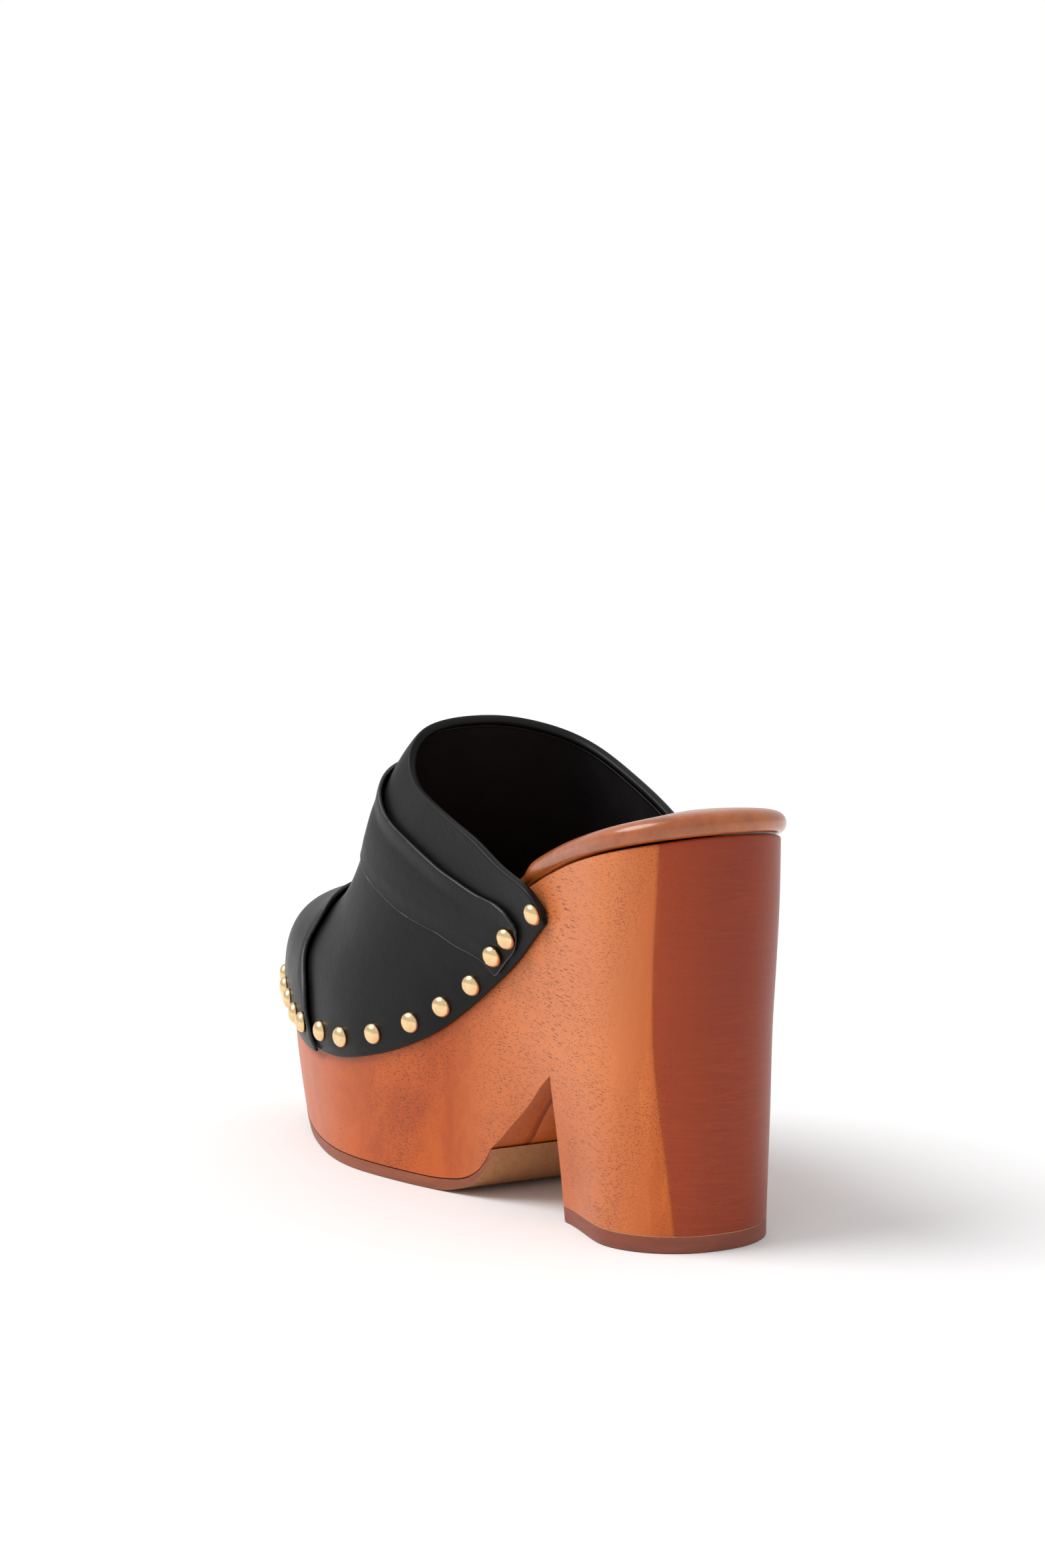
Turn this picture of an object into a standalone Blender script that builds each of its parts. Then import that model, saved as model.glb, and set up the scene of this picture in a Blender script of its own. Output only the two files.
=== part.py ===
"""High-heeled platform clog, left shoe. Toe towards -Y, wearer's left is +X, up is +Z.

Stations run from the heel back (0) to the toe (about 252), in millimetres, and the side
is positive towards the wearer's left. place() turns (side, station, height) into metres.
"""
import math

import bpy
import bmesh
import numpy as np
from mathutils import Vector

# ---------------------------------------------------------------- driving dimensions, mm
SIZE = 0.96              # the tables below are drawn for the next size up
STATION_MID = 128.01     # station that lies on the origin
SIDE_MID = -0.41
BREAST = 57.0            # front face of the heel
ARCH_TOP = 45.5          # height where the arch meets the heel breast
LIFT = 4.7               # heel top lift thickness
RUBBER = 3.5             # forepart outsole thickness
GAP = 0.3                # clearance between parts that are glued or sewn together
PLANK_GAP = 0.06         # glue line between the two planks
LINING = 0.5             # lining thickness
LEATHER = 1.5
OVERLAY = 1.3
UPPER_OFF = 1.35         # upper's base surface outside the wood
REBATE = 2.6             # depth cut from the toe's wall for the upper
NAIL_R = 3.45
NAIL_DOME = 2.3
SHANK_R = 0.9
HOLE_R = 1.25

# plan outline of the wood at the feather edge: (side, station), heel back to toe
NEAR = [(0, 0), (9.3, 0.9), (16.7, 3.7), (22.8, 8.2), (27.3, 14.3), (30.1, 21.7), (31, 31),
        (30.2, 43), (28.8, 56), (28, 70), (28.6, 83), (31, 96), (34.6, 109), (38.6, 122),
        (42, 136), (44.3, 150), (44.9, 164), (43.6, 178), (40.9, 191), (37.4, 203.5),
        (33, 215.5), (28, 227), (21.8, 237.5), (13.8, 245.8), (4.5, 250.6), (-3, 251.5)]
FAR = [(0, 0), (-9.3, 0.9), (-16.7, 3.7), (-22.8, 8.2), (-27.3, 14.3), (-30.1, 21.7), (-31, 31),
       (-30, 43), (-28.2, 56), (-26.8, 70), (-27, 83), (-29.2, 96), (-33, 109), (-37, 122),
       (-40.8, 136), (-43.8, 150), (-45.3, 164), (-45.3, 178), (-44, 191), (-41.3, 203.5),
       (-37.3, 215.5), (-31.5, 227.5), (-24.3, 238), (-16.3, 246.3), (-9.5, 250.5), (-3, 251.5)]

# station -> height of the wood's top edge
WOOD_TOP = [(-5, 125.2), (0, 124), (24, 117.6), (50, 109.4), (68, 102), (85, 92), (100, 81),
            (115, 70), (130, 60.5), (145, 54), (160, 50.5), (175, 49.5), (190, 50), (205, 51.3),
            (220, 53), (235, 55), (256, 58)]
# height -> how far the heel wall draws in, at the back and at the breast
DRAW_BACK = [(0, 3.6), (14, 3.3), (38, 2.7), (64, 2.2), (84, 1.3), (100, 0.7), (118, 0.5), (130, 0.5)]
DRAW_BREAST = [(0, 7.1), (6, 6.4), (16, 5.3), (29, 3.6), (46, 1.2), (64, 0.4), (90, 0), (130, 0)]
# height -> how far the toe wall draws in
DRAW_TOE = [(-5, 5.6), (0, 4.6), (10, 2.9), (20, 1.5), (30, 0.4), (40, 0), (130, 0)]
# station -> underside of the forepart outsole
TREAD = [(88.4, 17), (90.4, 13), (93.4, 9), (97.4, 5.4), (102, 2.7), (107.5, 0.9), (113, 0.15), (119, 0), (130, 0),
         (175, 0), (188, 0), (203, 0.8), (218, 2.9), (232, 6.2), (244, 10), (258, 15.4)]
ARCH = [(57, 45.5), (64.9, 40.2), (73, 33), (81, 25.2), (85.4, 20.4)]
# height -> side of the glue line
GLUE = [(-5, 14), (0, 14), (14, 15.3), (30, 17.2), (60, 20.2), (85, 21), (124, 20.2), (140, 20)]

# topline of the upper: (side, station, height), near tip, over the instep, far tip
TOPLINE = [(31.6, 54, 95.7), (32.2, 61, 101.7), (32.6, 70, 105), (33, 80, 108.4),
           (33.3, 92, 113.5), (33.2, 106, 117.7), (32.4, 122.3, 122.4), (30.6, 134.8, 126.8),
           (27.6, 142.7, 133.7), (22.3, 144.7, 140.6), (14, 144.2, 143.8), (4, 143.5, 144.6),
           (-6, 141.9, 144.1), (-16, 138.6, 142), (-24.5, 131.9, 138.6), (-29.5, 121, 133.9),
           (-31.4, 107, 128.2), (-32, 93, 122.6), (-32, 80, 116.7), (-31.8, 69, 110.4),
           (-31.6, 61, 103), (-31.2, 54, 95.7)]
# station -> height of the upper's lower edge
EDGE = [(52, 94.6), (60.2, 88.7), (68.2, 82.4), (75.9, 76.2), (82.8, 71), (98.3, 59.5),
        (110, 51.5), (127, 43.4), (143, 38.6), (157, 35.8), (175, 35), (188, 35.2), (200, 36.2),
        (212, 37.4), (225, 39.2), (238, 41.4), (258, 44.5)]


def smooth(table, x):
    """Cubic through a table of (x, y), with slopes taken from the neighbours."""
    xs = np.array([row[0] for row in table], float)
    ys = np.array([row[1] for row in table], float)
    slope = np.gradient(ys, xs)
    x = np.clip(np.asarray(x, float), xs[0], xs[-1])
    i = np.clip(np.searchsorted(xs, x) - 1, 0, len(xs) - 2)
    h = xs[i + 1] - xs[i]
    t = (x - xs[i]) / h
    return ((2 * t**3 - 3 * t**2 + 1) * ys[i] + (t**3 - 2 * t**2 + t) * h * slope[i]
            + (-2 * t**3 + 3 * t**2) * ys[i + 1] + (t**3 - t**2) * h * slope[i + 1])


def ramp(x, a, b):
    t = np.clip((np.asarray(x, float) - a) / (b - a), 0, 1)
    return t * t * (3 - 2 * t)


def spline(points, params):
    """Catmull-Rom through points; params count in whole points."""
    p = np.array(points, float)
    full = np.vstack([2 * p[0] - p[1], p, 2 * p[-1] - p[-2]])
    t = np.clip(np.asarray(params, float), 0, len(p) - 1)
    i = np.minimum(t.astype(int), len(p) - 2)
    u = (t - i)[:, None]
    a, b, c, d = full[i], full[i + 1], full[i + 2], full[i + 3]
    return 0.5 * (2 * b + (c - a) * u + (2 * a - 5 * b + 4 * c - d) * u**2
                  + (3 * b - a - 3 * c + d) * u**3)


def place(points):
    """(side, station, height) in mm to the frame in metres."""
    p = np.asarray(points, float)
    return np.stack([p[..., 0] - SIDE_MID, STATION_MID - p[..., 1], p[..., 2]], -1) / 1000 * SIZE


# ---------------------------------------------------------------- scene helpers
for item in list(bpy.data.objects):
    bpy.data.objects.remove(item)
scene = bpy.context.scene
parts = bpy.data.collections.new("wooden_clog")
cutters = bpy.data.collections.new("cutters")
scene.collection.children.link(parts)
scene.collection.children.link(cutters)
cutters.hide_render = True


def material(name, colour, rough, metal=0.0):
    made = bpy.data.materials.new(name)
    made.use_nodes = True
    shader = made.node_tree.nodes["Principled BSDF"]
    shader.inputs["Base Color"].default_value = (*colour, 1)
    shader.inputs["Roughness"].default_value = rough
    shader.inputs["Metallic"].default_value = metal
    return made


WOOD_A = material("stained_wood_light", (0.50, 0.16, 0.05), 0.42)
WOOD_B = material("stained_wood_dark", (0.40, 0.11, 0.035), 0.42)
BLACK = material("black_leather", (0.012, 0.012, 0.013), 0.4)
BLACK_LINING = material("black_lining", (0.01, 0.01, 0.011), 0.55)
BLACK_CAP = material("black_leather_cap", (0.013, 0.013, 0.014), 0.4)
BLACK_BAND = material("black_leather_band", (0.013, 0.013, 0.014), 0.38)
TAN = material("tan_leather", (0.42, 0.14, 0.04), 0.35)
FOAM = material("latex_foam", (0.75, 0.66, 0.5), 0.9)
RUBBER_SOLE = material("brown_rubber", (0.23, 0.09, 0.04), 0.5)
RUBBER_LIFT = material("brown_lift_rubber", (0.2, 0.075, 0.035), 0.5)
GOLD = material("gold_brass", (0.9, 0.62, 0.28), 0.16, 1.0)
STEEL = material("steel", (0.6, 0.6, 0.6), 0.35, 1.0)


def make(name, points, faces, mat, cutter=False, metres=False):
    mesh = bpy.data.meshes.new(name)
    co = np.asarray(points) if metres else place(points)
    mesh.from_pydata([tuple(c) for c in co], [], [tuple(int(i) for i in f) for f in faces])
    mesh.update()
    bm = bmesh.new()
    bm.from_mesh(mesh)
    bmesh.ops.recalc_face_normals(bm, faces=bm.faces)
    bm.to_mesh(mesh)
    bm.free()
    obj = bpy.data.objects.new(name, mesh)
    if cutter:
        cutters.objects.link(obj)
        obj.hide_render = True
        obj.display_type = "WIRE"
    else:
        parts.objects.link(obj)
        mesh.materials.append(mat)
    return obj


def boolean(obj, other, operation):
    mod = obj.modifiers.new(other.name, "BOOLEAN")
    mod.operation = operation
    mod.object = other
    mod.solver = "EXACT"


# ---------------------------------------------------------------- outlines and lofts
COLUMNS = np.linspace(0, 25, 33)


def half_outline(points, height):
    """One half of the plan outline at a height, heel back to toe, with the walls drawn in."""
    xy = spline(points, COLUMNS)
    side, station = xy[:, 0], xy[:, 1]
    height = np.broadcast_to(np.asarray(height, float), side.shape)
    back = smooth(DRAW_BACK, height)
    breast = smooth(DRAW_BREAST, height)
    toe = smooth(DRAW_TOE, height)
    w_breast = ramp(station, 22, 56)
    heel = (back * (1 - w_breast) + breast * w_breast) * (1 - ramp(station, 66, 88))
    ball = toe * (0.1 + 0.9 * ramp(station, 150, 215)) * ramp(station, 88, 120)
    centre = -3.0 * ramp(station, 200, 250)
    side = centre + (side - centre) * (1 - heel / 31.0 - ball / 44.0)
    station = station + back * (1 - ramp(station, 0, 40)) - toe * 1.5 * ramp(station, 195, 250)
    return np.stack([side, station], 1)


def ring(height, offset=0.0):
    """The closed outline: near half then far half back to the heel. offset is outwards."""
    near = half_outline(NEAR, height)
    far = half_outline(FAR, height)
    loop = np.vstack([near, far[-2:0:-1]])
    along = np.roll(loop, -1, 0) - np.roll(loop, 1, 0)
    normal = np.stack([along[:, 1], -along[:, 0]], 1)
    normal /= np.linalg.norm(normal, axis=1)[:, None]
    return loop + normal * np.broadcast_to(np.asarray(offset, float), len(loop))[:, None]


COUNT = len(COLUMNS) * 2 - 2
HALF = len(COLUMNS) - 1


def cap_faces(base, flip):
    """Strips across between the two halves of a ring whose first vertex is base."""
    faces = []
    for i in range(HALF):
        a, b = i, i + 1
        c, d = (COUNT - b) % COUNT, (COUNT - a) % COUNT
        loop = []
        for k in (a, b, c, d):
            if k not in loop:
                loop.append(k)
        faces.append([base + k for k in (loop[::-1] if flip else loop)])
    return faces


def side_faces(low, high):
    faces = []
    for i in range(COUNT):
        j = (i + 1) % COUNT
        faces.append([low + i, low + j, high + j, high + i])
    return faces


def loft(rings):
    """A solid from rings (COUNT x 3 arrays), capped across at both ends."""
    points = np.vstack(rings)
    faces = cap_faces(0, True)
    for k in range(len(rings) - 1):
        faces += side_faces(k * COUNT, (k + 1) * COUNT)
    faces += cap_faces((len(rings) - 1) * COUNT, False)
    return points, faces


def wall_rings(bottom, top, steps, edge=0.0):
    """Rings from bottom to top (per-column heights), drawn in by height, top edge eased."""
    rings = []
    for t in steps:
        height = bottom + (top - bottom) * t
        rings.append(level(height, 0.0))
    if edge:
        height = top - edge
        rings[-1] = level(height, 0.0)
        rings.append(level(top, -edge))
    return rings


def rebate(station, height):
    """Depth of the toe's rebate, which starts just under the upper's edge."""
    return REBATE * ramp(station, 150, 215) * ramp(height - smooth(EDGE, station), -3.0, -0.8)


def level(height, offset):
    height = np.broadcast_to(np.asarray(height, float), COUNT)
    near_h = height[:HALF + 1]
    far_h = np.concatenate([[height[0]], height[:HALF:-1], [height[HALF]]])
    near = half_outline(NEAR, near_h)
    far = half_outline(FAR, far_h)
    loop = np.vstack([near, far[-2:0:-1]])
    along = np.roll(loop, -1, 0) - np.roll(loop, 1, 0)
    normal = np.stack([along[:, 1], -along[:, 0]], 1)
    normal /= np.linalg.norm(normal, axis=1)[:, None]
    offset = np.broadcast_to(np.asarray(offset, float), COUNT) - rebate(loop[:, 1], height)
    return np.column_stack([loop + normal * offset[:, None], height])


FEATHER = ring(60.0)
STATIONS = FEATHER[:, 1]


def extrude_side(name, profile, low, high):
    """A cutter: a (station, height) polygon run across the shoe."""
    n = len(profile)
    points = [(low, s, z) for s, z in profile] + [(high, s, z) for s, z in profile]
    faces = [list(range(n))[::-1], list(range(n, 2 * n))]
    for i in range(n):
        j = (i + 1) % n
        faces.append([i, j, n + j, n + i])
    return make(name, points, faces, None, cutter=True)


# ---------------------------------------------------------------- the sole unit
def tread_profile(extra):
    """Upper face of the forepart outsole raised by extra, heel side first."""
    stations = np.array([88.8, 90, 91.6, 94, 97.5, 102, 107, 112, 118, 135, 155, 175, 188, 198, 208,
                         218, 228, 238, 248, 258.0])
    low = np.maximum(smooth(TREAD, stations), 0)
    slope = np.gradient(low, stations)
    thick = 0.9 + (RUBBER - 0.9) * ramp(stations, 88, 111) + extra
    size = np.hypot(1, slope)
    return list(zip(stations - thick * slope / size, low + thick / size))


def sole_block(name, mat):
    """The full wooden block: walls drawn in by height, the toe's rebate, and an eased top."""
    top = smooth(WOOD_TOP, STATIONS)
    bottom = np.where(STATIONS < 70, LIFT + GAP, 2.0)
    brim = smooth(EDGE, STATIONS)
    rings = [level(bottom + (brim - 3.0 - bottom) * t, 0.0) for t in (0, 0.22, 0.46, 0.7, 0.88, 1)]
    rings += [level(brim - 0.8 + (top - 0.1 - brim) * t, 0.0) for t in (0, 0.4, 0.75, 1)]
    rings.append(level(top, -0.9))
    points, faces = loft(rings)
    return make(name, points, faces, mat)


def glue_block(name, side):
    heights = np.array([-5, 0, 15, 30, 45, 60, 72, 85, 104, 124, 140.0])
    line = smooth(GLUE, heights) + side * PLANK_GAP / 2
    outer = np.full(len(heights), side * 80.0)
    profile = list(zip(line, heights)) + list(zip(outer[::-1], heights[::-1]))
    n = len(profile)
    points = [(x, -20, z) for x, z in profile] + [(x, 280, z) for x, z in profile]
    faces = [list(range(n)), list(range(n, 2 * n))]
    for i in range(n):
        j = (i + 1) % n
        faces.append([i, j, n + j, n + i])
    return make(name, points, faces, None, cutter=True)


wood_tread = tread_profile(GAP)
under = [(BREAST, -20), (BREAST, ARCH_TOP)] + ARCH[1:] + wood_tread
under += [(270, wood_tread[-1][1] + 3), (270, -20)]
under_cut = extrude_side("under_cut", under, -75, 75)

plank_near = sole_block("sole_plank_lateral", WOOD_A)
plank_far = sole_block("sole_plank_medial", WOOD_B)
for plank, side in ((plank_near, 1), (plank_far, -1)):
    boolean(plank, under_cut, "DIFFERENCE")
    boolean(plank, glue_block("glue_side_" + str(side + 1), side), "INTERSECT")

# forepart outsole
low_line = np.array([88.4, 89.8, 91.4, 94, 97.5, 102, 107, 112, 118, 150, 188, 198, 208, 218, 228, 238,
                     248, 258])
profile = list(zip(low_line, np.maximum(smooth(TREAD, low_line), 0))) + tread_profile(0.0)[::-1]
outsole_profile = extrude_side("outsole_profile", profile, -75, 75)
points, faces = loft(wall_rings(np.full(COUNT, -4.0), np.full(COUNT, 26.0), [0, 0.25, 0.5, 0.75, 1]))
outsole = make("outsole_forepart", points, faces, RUBBER_SOLE)
boolean(outsole, outsole_profile, "INTERSECT")

# heel top lift, with a small bevel at the tread
lift_rings = [level(0.0, -0.5), level(0.4, 0.0), level(LIFT, 0.0)]
points, faces = loft(lift_rings)
lift = make("heel_top_lift", points, faces, RUBBER_LIFT)
lift_front = extrude_side("lift_front", [(BREAST - 0.1, -10), (300, -10), (300, 20), (BREAST - 0.1, 20)], -75, 75)
boolean(lift, lift_front, "DIFFERENCE")

# nails that hold the lift
LIFT_NAILS = [(-13, 17), (13, 17), (-14, 44), (14, 44)]


def lathe(name, rows, centre, axis, mat, segments=12, cutter=False):
    """A solid of revolution; rows are (radius, distance along axis), first and last radius 0."""
    axis = Vector(axis).normalized()
    turn = axis.to_track_quat("Z", "Y")
    points = []
    index = []
    for r, h in rows:
        if r == 0:
            index.append([len(points)])
            points.append(Vector(centre) + turn @ Vector((0, 0, h)))
            continue
        index.append(list(range(len(points), len(points) + segments)))
        for k in range(segments):
            a = 2 * math.pi * k / segments
            points.append(Vector(centre) + turn @ Vector((r * math.cos(a), r * math.sin(a), h)))
    faces = []
    for low, high in zip(index, index[1:]):
        for k in range(segments):
            j = (k + 1) % segments
            if len(low) == 1:
                faces.append([low[0], high[j], high[k]])
            elif len(high) == 1:
                faces.append([low[k], low[j], high[0]])
            else:
                faces.append([low[k], low[j], high[j], high[k]])
    co = np.array([tuple(p) for p in points])
    if name is None:
        return co, faces
    return make(name, co, faces, mat, cutter=cutter, metres=True)


def join_lathes(name, pieces):
    points = np.zeros((0, 3))
    faces = []
    for co, some in pieces:
        faces += [[i + len(points) for i in f] for f in some]
        points = np.vstack([points, co])
    return make(name, points, faces, None, cutter=True, metres=True)


mm = 0.001 * SIZE
holes = []
for n, (x, s) in enumerate(LIFT_NAILS, 1):
    base = place([x, s, 0.6])
    rows = [(0, 0), (2.2, 0), (2.2, 0.9), (1.0, 1.4), (1.0, 15), (0.35, 18), (0, 18.4)]
    lathe("lift_nail_" + str(n), [(r * mm, h * mm) for r, h in rows], base, (0, 0, 1), STEEL, 12)
    rows = [(0, -3), (2.5, -3), (2.5, 1.5), (1.3, 1.8), (1.3, 19), (0, 19)]
    holes.append(lathe(None, [(r * mm, h * mm) for r, h in rows], base, (0, 0, 1), None, 12))
lift_holes = join_lathes("lift_holes", holes)
boolean(lift, lift_holes, "DIFFERENCE")
boolean(plank_near, lift_holes, "DIFFERENCE")
boolean(plank_far, lift_holes, "DIFFERENCE")


# ---------------------------------------------------------------- padded sock over a foam pad
def sock_ring(offset, rise):
    top = smooth(WOOD_TOP, STATIONS)
    spare = (offset + 1.3 * (1 - ramp(STATIONS, 12, 44)) - 3.9 * ramp(STATIONS, 60, 74)
             - 1.2 * ramp(STATIONS, 222, 245))
    loop = level(60.0, spare)
    return np.column_stack([loop[:, :2], top + rise])


OUTER = [(-0.5, 0.3), (1.5, 1.2), (2.4, 3.4), (1.7, 5.6), (-0.6, 7.0), (-5, 7.2), (-12, 6.5)]
INNER = [(-1.8, 0.3), (0.2, 1.4), (1.1, 3.4), (0.4, 5.0), (-1.6, 5.9), (-5.2, 6.0), (-12, 5.3)]
PAD = [(-2.1, 0.3), (-0.1, 1.6), (0.7, 3.4), (0.0, 4.7), (-1.8, 5.5), (-5.3, 5.6), (-12, 4.9)]


def sock():
    outer = [sock_ring(o, h) for o, h in OUTER]
    inner = [sock_ring(o, h) for o, h in INNER]
    points = np.vstack(outer + inner)
    faces = []
    for k in range(len(outer) - 1):
        faces += side_faces(k * COUNT, (k + 1) * COUNT)
    faces += cap_faces((len(outer) - 1) * COUNT, False)
    start = len(outer) * COUNT
    for k in range(len(inner) - 1):
        faces += [f[::-1] for f in side_faces(start + k * COUNT, start + (k + 1) * COUNT)]
    faces += cap_faces(start + (len(inner) - 1) * COUNT, True)
    faces += [f[::-1] for f in side_faces(0, start)]
    return make("sock_cover", points, faces, TAN)


sock_cover = sock()
points, faces = loft([sock_ring(o, h) for o, h in PAD])
footbed_pad = make("footbed_pad", points, faces, FOAM)

# ---------------------------------------------------------------- the upper's base surface
NU = 47
ROWS = [0, 0.07, 0.15, 0.24, 0.34, 0.45, 0.56, 0.66, 0.74, 0.81, 0.875, 0.94, 1.0]
CLEAR = 0.4              # overlay above the vamp


def edge_curve(u):
    """Lower edge of the upper on the wood's wall, near tip round the toe to the far tip."""
    near = half_outline(NEAR, 60.0)
    far = half_outline(FAR, 60.0)
    walk = np.vstack([near, far[-2::-1]])
    start = np.argmax(near[:, 1] > 40)
    stop = len(walk) - start
    walk = walk[start:stop]
    fine = spline(walk, np.linspace(0, len(walk) - 1, 900))
    keep = fine[:, 1] >= 54
    fine = fine[keep]
    run = np.concatenate([[0], np.cumsum(np.linalg.norm(np.diff(fine, axis=0), axis=1))])
    middle = run[np.argmax(fine[:, 1])]
    want = np.where(u < 0.5, u / 0.5 * middle, middle + (u - 0.5) / 0.5 * (run[-1] - middle))
    x = np.interp(want, run, fine[:, 0])
    s = np.interp(want, run, fine[:, 1])
    along = np.stack([np.gradient(x, u), np.gradient(s, u)], 1)
    normal = np.stack([along[:, 1], -along[:, 0]], 1)
    normal /= np.linalg.norm(normal, axis=1)[:, None]
    z = smooth(EDGE, s)
    wall = np.stack([x, s], 1) + normal * (UPPER_OFF - rebate(s, 60.0))[:, None]
    return np.column_stack([wall, z]), normal


def topline_curve(u):
    dense = spline(TOPLINE, np.linspace(0, len(TOPLINE) - 1, 900))
    run = np.concatenate([[0], np.cumsum(np.linalg.norm(np.diff(dense, axis=0), axis=1))])
    middle = run[np.argmin(abs(dense[:, 0] - 0.0) + 10 * (dense[:, 2] < 140))]
    want = np.where(u < 0.5, u / 0.5 * middle, middle + (u - 0.5) / 0.5 * (run[-1] - middle))
    return np.stack([np.interp(want, run, dense[:, k]) for k in range(3)], 1)


def base_surface(u, v):
    """Points for every u (round the shoe) and v (topline 0 to lower edge 1)."""
    low, normal = edge_curve(u)
    top = topline_curve(u)
    span = np.linalg.norm(low - top, axis=1)
    front = np.exp(-((u - 0.5) / 0.214) ** 2)
    out = np.column_stack([normal, np.zeros(len(u))])
    # handle at the topline: down the instep in front, down the wall at the sides
    slope = (low - top) / span[:, None]
    down = np.column_stack([0.06 * np.sign(top[:, 0]) * (1 - front), np.zeros(len(u)), -np.ones(len(u))])
    instep = np.column_stack([0.30 * np.sign(top[:, 0]) * np.minimum(abs(top[:, 0]) / 28, 1), np.full(len(u), 0.86),
                              np.full(len(u), -0.42)])
    lead = down * (1 - front)[:, None] * 0.6 + slope * (1 - front)[:, None] * 0.4 + instep * front[:, None]
    lead /= np.linalg.norm(lead, axis=1)[:, None]
    p1 = top + lead * span[:, None] * (0.36 + 0.10 * front)[:, None]
    rise = np.array([0, 0, 1.0]) + out * 0.10
    p2 = low + rise * span[:, None] * (0.36 + 0.02 * front)[:, None]
    q = np.array([(top + 3 * p1) / 4, (p1 + p2) / 2, (3 * p2 + low) / 4])
    # over the instep: steep at the throat, hollow in the middle, full over the toes
    steep = np.column_stack([0.3 * np.clip(top[:, 0] / 28, -1, 1), np.full(len(u), 0.785), np.full(len(u), -0.74)])
    rise = np.column_stack([normal * 0.164, np.ones(len(u))])
    f = np.array([top + steep * span[:, None] * 0.277,
                  (top + low) / 2 + np.array([0, -36.6, -43.9]),
                  low + rise * span[:, None] * 0.439])
    q = q * (1 - front)[None, :, None] + f * front[None, :, None]
    v = v[None, :, None]
    top, low = top[:, None, :], low[:, None, :]
    q = q[:, :, None, :]
    w = 1 - v
    return w**4 * top + 4 * w**3 * v * q[0] + 6 * w**2 * v**2 * q[1] + 4 * w * v**3 * q[2] + v**4 * low


def surface_grid(nu, nv):
    u = np.linspace(0, 1, nu)
    v = np.linspace(0, 1, nv)
    grid = base_surface(u, v)
    du = np.gradient(grid, axis=0)
    dv = np.gradient(grid, axis=1)
    normal = np.cross(du, dv)
    normal /= np.linalg.norm(normal, axis=2)[:, :, None]
    if normal[nu // 2, nv // 2, 1] < 0:
        normal = -normal
    return u, v, grid, normal


FINE = surface_grid(401, 161)


def sample(u, v):
    """Point and normal of the base surface at arrays of u and v."""
    fu, fv, grid, normal = FINE
    x = np.clip(u, 0, 1) * (len(fu) - 1)
    y = np.clip(v, 0, 1) * (len(fv) - 1)
    i = np.minimum(x.astype(int), len(fu) - 2)
    j = np.minimum(y.astype(int), len(fv) - 2)
    a, b = (x - i)[..., None], (y - j)[..., None]

    def mix(f):
        return ((1 - a) * (1 - b) * f[i, j] + a * (1 - b) * f[i + 1, j]
                + (1 - a) * b * f[i, j + 1] + a * b * f[i + 1, j + 1])
    n = mix(normal)
    return mix(grid), n / np.linalg.norm(n, axis=-1)[..., None]


def panel(name, u, v_low, v_high, rows, inner, outer, mat):
    """A leather panel: offset inner to outer from the base, v from v_low(u) to v_high(u)."""
    u = np.asarray(u, float)
    t = np.linspace(0, 1, rows) if isinstance(rows, int) else np.array(rows)
    uu = np.repeat(u[:, None], len(t), 1)
    low = v_low(u) if callable(v_low) else np.full(len(u), float(v_low))
    high = v_high(u) if callable(v_high) else np.full(len(u), float(v_high))
    vv = low[:, None] * (1 - t) + high[:, None] * t
    p, n = sample(uu, vv)
    d_in = inner(p) if callable(inner) else np.full(uu.shape, float(inner))
    d_out = outer(p) if callable(outer) else np.full(uu.shape, float(outer))
    thick = d_out - d_in
    # ease the outer face at the panel's border
    border = np.zeros(uu.shape)
    border[0, :] = border[-1, :] = border[:, 0] = border[:, -1] = 1
    skin = p + n * (d_out - 0.22 * thick * border)[..., None]
    back = p + n * d_in[..., None]
    nu, nv = uu.shape
    points = np.vstack([skin.reshape(-1, 3), back.reshape(-1, 3)])
    faces = []
    off = nu * nv
    for i in range(nu - 1):
        for j in range(nv - 1):
            a, b, c, d = i * nv + j, (i + 1) * nv + j, (i + 1) * nv + j + 1, i * nv + j + 1
            faces.append([a, b, c, d])
            faces.append([off + d, off + c, off + b, off + a])
    loop = [j for j in range(nv)] + [i * nv + nv - 1 for i in range(1, nu)]
    loop += [(nu - 1) * nv + j for j in range(nv - 2, -1, -1)] + [i * nv for i in range(nu - 2, 0, -1)]
    for a, b in zip(loop, loop[1:] + loop[:1]):
        faces.append([a, b, off + b, off + a])
    return make(name, points, faces, mat)


# ---------------------------------------------------------------- lining, puff, vamp, overlays
BAND_TOP = [(0.041, 0.66), (0.0445, 0.5), (0.06, 0.33), (0.075, 0.255), (0.091, 0.217), (0.118, 0.197),
            (0.164, 0.173), (0.198, 0.156), (0.246, 0.131), (0.311, 0.117), (0.352, 0.114), (0.42, 0.108),
            (0.5, 0.105)]
BAND_LOW = [(0.041, 0.66), (0.0412, 0.78), (0.0445, 0.89), (0.054, 0.915), (0.0645, 0.955), (0.071, 0.91),
            (0.083, 0.75), (0.106, 0.593), (0.138, 0.483), (0.171, 0.417), (0.22, 0.367), (0.269, 0.327),
            (0.328, 0.3), (0.4, 0.288), (0.5, 0.28)]
CAP_REAR = [(0.283, 1.0), (0.286, 0.975), (0.294, 0.92), (0.304, 0.863), (0.32, 0.807), (0.348, 0.748),
            (0.368, 0.69), (0.381, 0.63), (0.398, 0.575), (0.425, 0.545), (0.46, 0.53), (0.5, 0.525)]


def band_low(u):
    """Upper edge of the instep band."""
    return smooth(BAND_TOP, np.minimum(u, 1 - u))


def band_high(u):
    """Lower edge of the instep band."""
    return smooth(BAND_LOW, np.minimum(u, 1 - u))


def cap_low(u):
    """Rear edge of the toe cap."""
    return smooth(CAP_REAR, np.minimum(u, 1 - u))


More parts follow.
